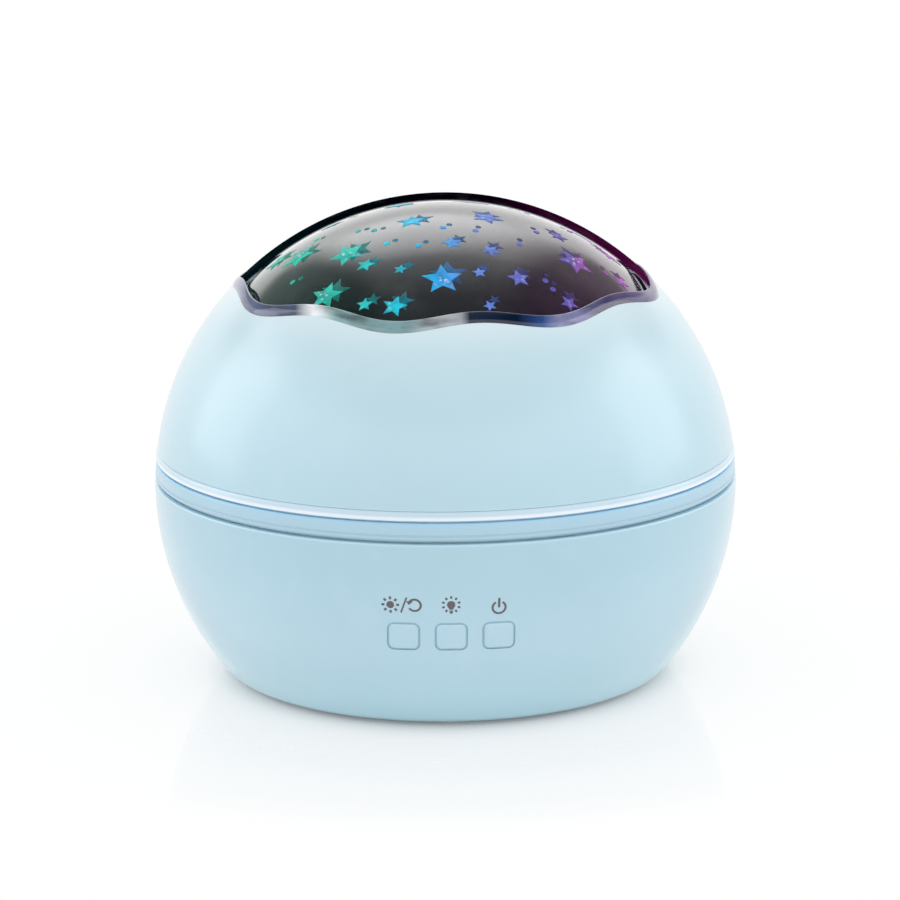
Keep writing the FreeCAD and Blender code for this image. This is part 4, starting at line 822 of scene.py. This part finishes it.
def key_caps():
    """Key caps: rings of a rounded rectangle lie on the shell's ball a little proud of it, roll over at the edge
    and go down to a wider shoulder in the window; y = -sqrt(R^2 - x^2 - z^2), z from the lower shell's centre.
    The attribute "groove_shade" is 1 down in the groove, where the material paints a deeper blue as painted shade."""
    # Each ring's size against the key's, and how far it lies below the key's ball; then the shoulder and its foot.
    share = np.array([0.25, 0.5, 0.7, 0.82, 0.90, 0.95, 0.985, 1.0, 1.0])
    drop = np.array([0.0, 0.0, 0.0, 0.02, 0.05, 0.10, 0.17, 0.26, 0.40])
    wider = BUTTON_GAP - SEEN_SLIT
    outline = plate_outline(BUTTON_W, BUTTON_H, BUTTON_CORNER, 9)
    wide = plate_outline(BUTTON_W + 2 * wider, BUTTON_H + 2 * wider, BUTTON_CORNER + wider, 9)
    rings = np.concatenate([share[:, None, None] * outline[None], [wide, wide]])
    drop = np.concatenate([drop, [0.44, 5.2]])
    rows, count = rings.shape[:2]
    face_r, row_z = BALL_R + KEY_PROUD, BUTTON_Z - LOWER_LIFT
    groove = len(share) - 1
    for k, word in enumerate(("rotate", "colour", "power")):
        middle = np.array([(k - 1) * BUTTON_PITCH, row_z])
        flat = rings + middle
        reach = np.sqrt(face_r ** 2 - (flat ** 2).sum(-1)) - drop[:, None]
        points = np.stack([flat[..., 0], -reach, flat[..., 1] + LOWER_LIFT], -1)
        points[-1, :, 1] = points[-1, :, 1].max()
        top = (middle[0], -math.sqrt(face_r ** 2 - (middle ** 2).sum()), BUTTON_Z)
        every = np.concatenate([points.reshape(-1, 3), [top, points[-1].mean(0)]])
        i, on = around(count)
        last = (rows - 1) * count
        crown, bottom = fan(i, on, rows * count), fan(last + on, last + i, rows * count + 1)
        sides = grid_faces(rows, count, False, True)
        piece = add_mesh("key_" + word, every, [sides, crown, bottom], KEY_BLUE, 60.0)
        # Marks the groove's points for the material's painted shade.
        deep = np.zeros(len(every), np.float32)
        deep[groove * count:rows * count] = 1.0
        piece.data.attributes.new("groove_shade", "FLOAT", "POINT").data.foreach_set("value", deep)
        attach(piece, "key_" + word)
        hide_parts("button_" + word)


# ---- printed icons
def stroke(points, width):
    """A flat inked line: the path's points, each moved half the width to either side, as (n, 2, 2)."""
    points = np.asarray(points, float)
    way = np.gradient(points, axis=0)
    way /= np.linalg.norm(way, axis=1, keepdims=True)
    side = np.stack([-way[:, 1], way[:, 0]], -1) * width / 2
    return np.stack([points + side, points - side], 1)


def curl(radius, first, last, width):
    """Part of a ring, between two angles."""
    return stroke(arc(radius, first, last, 40), width)


def spot(radius, centre=(0.0, 0.0)):
    return stroke(arc(radius / 2, 0, 360, 28, centre), radius)


def rays(radius, length, width, angles, centre=(0.0, 0.0)):
    made = []
    for angle in np.radians(angles):
        way = np.array([math.cos(angle), math.sin(angle)])
        made.append(stroke([centre + way * (radius - length / 2), centre + way * (radius + length / 2)], width))
    return made


def tapered(path, widths):
    """An upright flat shape: at each point of the path it is as wide as given."""
    points = np.asarray(path, float)
    half = np.asarray(widths, float)[:, None] / 2 * np.array([[1.0, 0.0]])
    return np.stack([points - half, points + half], 1)


def printed(name, azimuth, latitude, strips):
    """Ink 0.03 mm thick: each strip is laid on the lower shell's ball round a middle point, x along the parallel
    and y along the meridian, as a closed ribbon with a top, a bottom, two sides and two ends."""
    points, faces, start = [], [], 0
    low, high = BALL_R + 0.01, BALL_R + 0.04
    for strip in strips:
        loop = np.concatenate([strip, strip[:, ::-1]], 1)
        radius = np.array([high, high, low, low])[None, :]
        lon = math.radians(azimuth) + loop[..., 0] / (BALL_R * math.cos(math.radians(latitude)))
        lat = math.radians(latitude) + loop[..., 1] / BALL_R
        laid = np.stack([radius * np.cos(lat) * np.sin(lon), -radius * np.cos(lat) * np.cos(lon),
                         radius * np.sin(lat)], -1)
        rows = len(strip)
        points.append(laid.reshape(-1, 3) + UPWARD * LOWER_LIFT)
        faces.append(grid_faces(rows, 4, False, True, start)[:, ::-1])
        faces.append(np.array([[0, 1, 2, 3]]) + start)
        faces.append(np.array([[3, 2, 1, 0]]) + start + 4 * (rows - 1))
        start += 4 * rows
    piece = add_mesh(name, np.concatenate(points), faces, INK)
    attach(piece, "base")


def icons():
    """Sun, slash and turning arrow; lamp bulb with rays; power sign: each above its key. Places on the ball are in
    degrees, and shapes in millimetres."""
    row = -10.7
    sun = [spot(0.82)] + rays(1.58, 0.62, 0.50, range(0, 360, 45))
    printed("print_sun", -11.5, row, sun)
    printed("print_slash", -8.95, row, [stroke([(-0.65, -1.75), (0.65, 1.75)], 0.36)])
    head = tapered([(-1.22, 0.10), (-1.08, 0.64), (-1.0, 0.90)], [0.06, 1.0, 1.45])
    printed("print_turn", -6.9, row, [curl(1.32, 212, 512, 0.44), head])
    bulb = [spot(0.88, (0.0, 0.15)), tapered([(0.0, 0.0), (0.0, -0.55), (0.0, -1.0)], [1.70, 1.18, 0.66]),
            stroke([(-0.38, -1.32), (0.38, -1.32)], 0.23), stroke([(-0.36, -1.62), (0.36, -1.62)], 0.25),
            stroke([(-0.16, -1.86), (0.16, -1.86)], 0.25)]
    bulb += rays(1.72, 0.56, 0.43, (90, 54, 18, -18, -54, 126, 162, 198, 234), (0.0, 0.12))
    printed("print_bulb", 0.0, row, bulb)
    power = [curl(1.38, 121, 419, 0.44), stroke([(0.0, 0.0), (0.0, 2.17)], 0.48)]
    printed("print_power", 9.05, row - 0.70, power)


# ---- star dome
# Stars of half the dome as azimuth, latitude, radius and turn, its dots as azimuth and latitude, and the rows low
# down all round as latitude, number of stars, radius and first azimuth.
HALF_SKY = np.array([
    (-74, 58, 4.6, 20), (-47, 62.5, 4.4, -12), (-40.5, 50.5, 4.0, 10), (-33.5, 60, 2.2, 5),
    (-32, 77.5, 3.4, 30), (-25.5, 49.5, 1.9, 12), (-18, 59.5, 1.5, 0), (-16, 49.5, 2.9, -8),
    (-1.5, 57, 4.5, 4), (4, 68.5, 2.3, 10), (13, 49.5, 1.5, 20), (12.5, 58.5, 1.6, 0),
    (22, 65, 2.2, 20), (26.5, 56, 2.6, -6), (39, 48, 2.2, 14), (47, 78, 3.6, 5),
    (57.5, 57.5, 4.4, -14), (71, 49, 2.4, 8), (72, 65, 2.4, 0), (92, 54, 3.6, 16)])
HALF_DOTS = np.array([
    (-62, 70), (-59.5, 52), (-50.5, 71.5), (-32, 67.5), (-14, 67.5), (-1, 75), (21.5, 73),
    (36, 54.5), (36.5, 52), (39.5, 66), (62, 68.5), (67.5, 52.5), (97, 63)])
LOW_ROWS = ((39.0, 14, 2.6, 3.0), (29.0, 12, 4.0, 14.0), (19.5, 14, 2.4, 0.0))
STAR_WAIST = 0.46
DOT_R = 0.7
STAR_PROUD, STAR_SUNK = 0.1, 0.3
# Each star's painted glow: a dim glowing copy thrown ECHO_RIGHT degrees right and ECHO_UP degrees up, ECHO_SIZE as
# large, ECHO_PROUD mm above the film.
ECHO_RIGHT, ECHO_UP, ECHO_SIZE, ECHO_PROUD = 1.3, 1.4, 0.96, 0.04


def star_table():
    """Rows of azimuth, latitude, radius, turn and waist for every star and dot of the dome."""
    sky = np.column_stack([HALF_SKY, np.full(len(HALF_SKY), STAR_WAIST)])
    half = np.concatenate([sky, [(lon, lat, DOT_R, 0.0, 1.0) for lon, lat in HALF_DOTS]])
    rows = [half, half + (180, 0, 0, 0, 0)]
    for latitude, count, radius, first in LOW_ROWS:
        k = np.arange(count)
        rows.append(np.stack([first + k * 360.0 / count, np.full(count, latitude),
                              np.where(k % 2 == 0, radius, radius * 0.62), 17.0 * k,
                              np.full(count, STAR_WAIST)], -1))
    return np.concatenate(rows)


def star_field(name, table, proud, finish):
    """All stars as one piece: each is a five-pointed outline with a middle ring and a heart, pushed out along
    its own axis to the dome, with h = sqrt(R^2 - x^2 - y^2), and closed by sides and a floor. So a star has 4
    rings of 10 points, then a top and a bottom point, 40 and 41. The attribute "heart" rises to its middle."""
    top_r, low_r = FILM_R + proud, FILM_R - STAR_SUNK
    lon, lat, size, turn, waist = (column[:, None, None] for column in table.T)
    lon, lat = np.radians(lon), np.radians(lat)
    k = np.arange(10)[None, None, :]
    angle = np.radians(turn + 36.0 * k + 90.0)
    reach = size * np.where(k % 2 == 0, 1.0, waist)
    ring = np.array([0.5, 0.97, 1.0, 1.0])[None, :, None]
    radius = np.array([top_r, top_r, top_r - 0.04, low_r])[None, :, None]
    x, y = ring * reach * np.cos(angle), ring * reach * np.sin(angle)
    rings = np.stack([x, y, np.sqrt(radius ** 2 - x ** 2 - y ** 2)], -1).reshape(len(table), 40, 3)
    ends = np.broadcast_to([[0.0, 0.0, top_r], [0.0, 0.0, low_r]], (len(table), 2, 3))
    local = np.concatenate([rings, ends], 1)
    lon, lat = lon[..., 0], lat[..., 0]
    right = np.stack([np.cos(lon), np.sin(lon), 0 * lon], -1)
    up = np.stack([-np.sin(lat) * np.sin(lon), np.sin(lat) * np.cos(lon), np.cos(lat)], -1)
    out = np.stack([np.cos(lat) * np.sin(lon), -np.cos(lat) * np.cos(lon), np.sin(lat)], -1)
    points = local[..., :1] * right + local[..., 1:2] * up + local[..., 2:] * out + (0, 0, FILM_LIFT)
    i, on = around(10)
    kinds = (grid_faces(4, 10, False, True), fan(i, on, 40), fan(30 + on, 30 + i, 41))
    start = (np.arange(len(table)) * 42)[:, None, None]
    faces = [(kind[None] + start).reshape(-1, kind.shape[1]) for kind in kinds]
    piece = add_mesh(name, points.reshape(-1, 3), faces, finish, 60.0)
    glow = np.zeros((len(table), 42), np.float32)
    glow[:, :10], glow[:, 40] = 0.45, 1.0
    glow *= np.clip((table[:, 2:3] - 1.0) / 3.0, 0.0, 1.0)
    layer = piece.data.attributes.new("heart", "FLOAT", "POINT")
    layer.data.foreach_set("value", glow.ravel())
    return piece


def star_dome():
    """Dark dome with its stars, and under each star's edge a painted glow: a dimmer, glowing copy of the star,
    thrown a little up and right, standing in for the star's light seen again on the dome.
    """
    foot = math.degrees(math.asin((SEAT_Z1 - FILM_LIFT) / FILM_R))

    def bowed(first, last, radius):
        lines = sphere_rows(latitudes(np.full(FILM_STEPS, first), last, DOME_ROWS), radius)
        return lines + (0.0, FILM_LIFT)

    outer = bowed(foot, TOP_LATITUDE, FILM_R)
    inner = bowed(TOP_LATITUDE, foot, FILM_R - FILM_WALL)
    film = turned_cap("star_film", outer, inner, FILM)
    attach(film, "dome")
    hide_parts("film_dome")
    table = star_table()
    lit = star_field("star_windows", table, STAR_PROUD, STAR)
    thrown = table.copy()
    thrown[:, 0] += ECHO_RIGHT / np.cos(np.radians(np.minimum(table[:, 1], 78.0)))
    thrown[:, 1] = np.minimum(table[:, 1] + ECHO_UP, 89.0)
    thrown[:, 2] *= ECHO_SIZE
    echo = star_field("painted_star_glows", thrown, ECHO_PROUD, PAINTED_STAR_GLOW)
    for piece in (lit, echo):
        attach(piece, "dome")
        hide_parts("star_lens")


# ---- solids that keep their shape, each finish with its solids
KEPT = (
    (UNDERSIDE, ("bottom_cover", "battery_door")),
    (STEEL, ("battery_door_screw", "cover_screws", "motor_shaft", "motor_screws", "switch_screws",
             "board_screws", "post_screws", "led_board_screws")),
    (CELL, ("battery_cells",)),
    (SOCKET_STEEL, ("battery_contacts", "power_socket")),
    (RUBBER, ("rubber_feet",)),
    (WHITE, ("chassis_deck", "film_seat", "motor_gearbox", "led_post")),
    (ACETAL, ("ring_gear", "drive_pinion")),
    (CAN_STEEL, ("motor_can",)),
    (BLACK, ("push_switches", "plunger_rotate", "plunger_colour", "plunger_power")),
    (GREEN_BOARD, ("switch_board", "main_board")),
    (CHIPS, ("board_components",)),
    (WHITE_BOARD, ("led_board",)),
    (LAMP, ("star_leds",)),
    (PHOSPHOR, ("night_leds",)),
    (MOTOR_WIRE, ("motor_leads",)),
    (LAMP_WIRE, ("led_leads",)),
    (CELL_WIRE, ("battery_leads",)),
    (KEY_WIRE, ("switch_leads",)),
)

make_camera()
make_floor()
make_world()
softbox("softbox_left", (-0.64, 0.14, 0.29))
softbox("softbox_right", (0.66, 0.03, 0.28))
upper_shell()
cap_pieces()
ridge_ring()
middle_band()
lower_bowl()
key_caps()
icons()
star_dome()
for finish, names in KEPT:
    for name in names:
        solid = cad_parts[name].data
        solid.materials.clear()
        solid.materials.append(finish)

bpy.context.scene.view_settings.view_transform = "Standard"
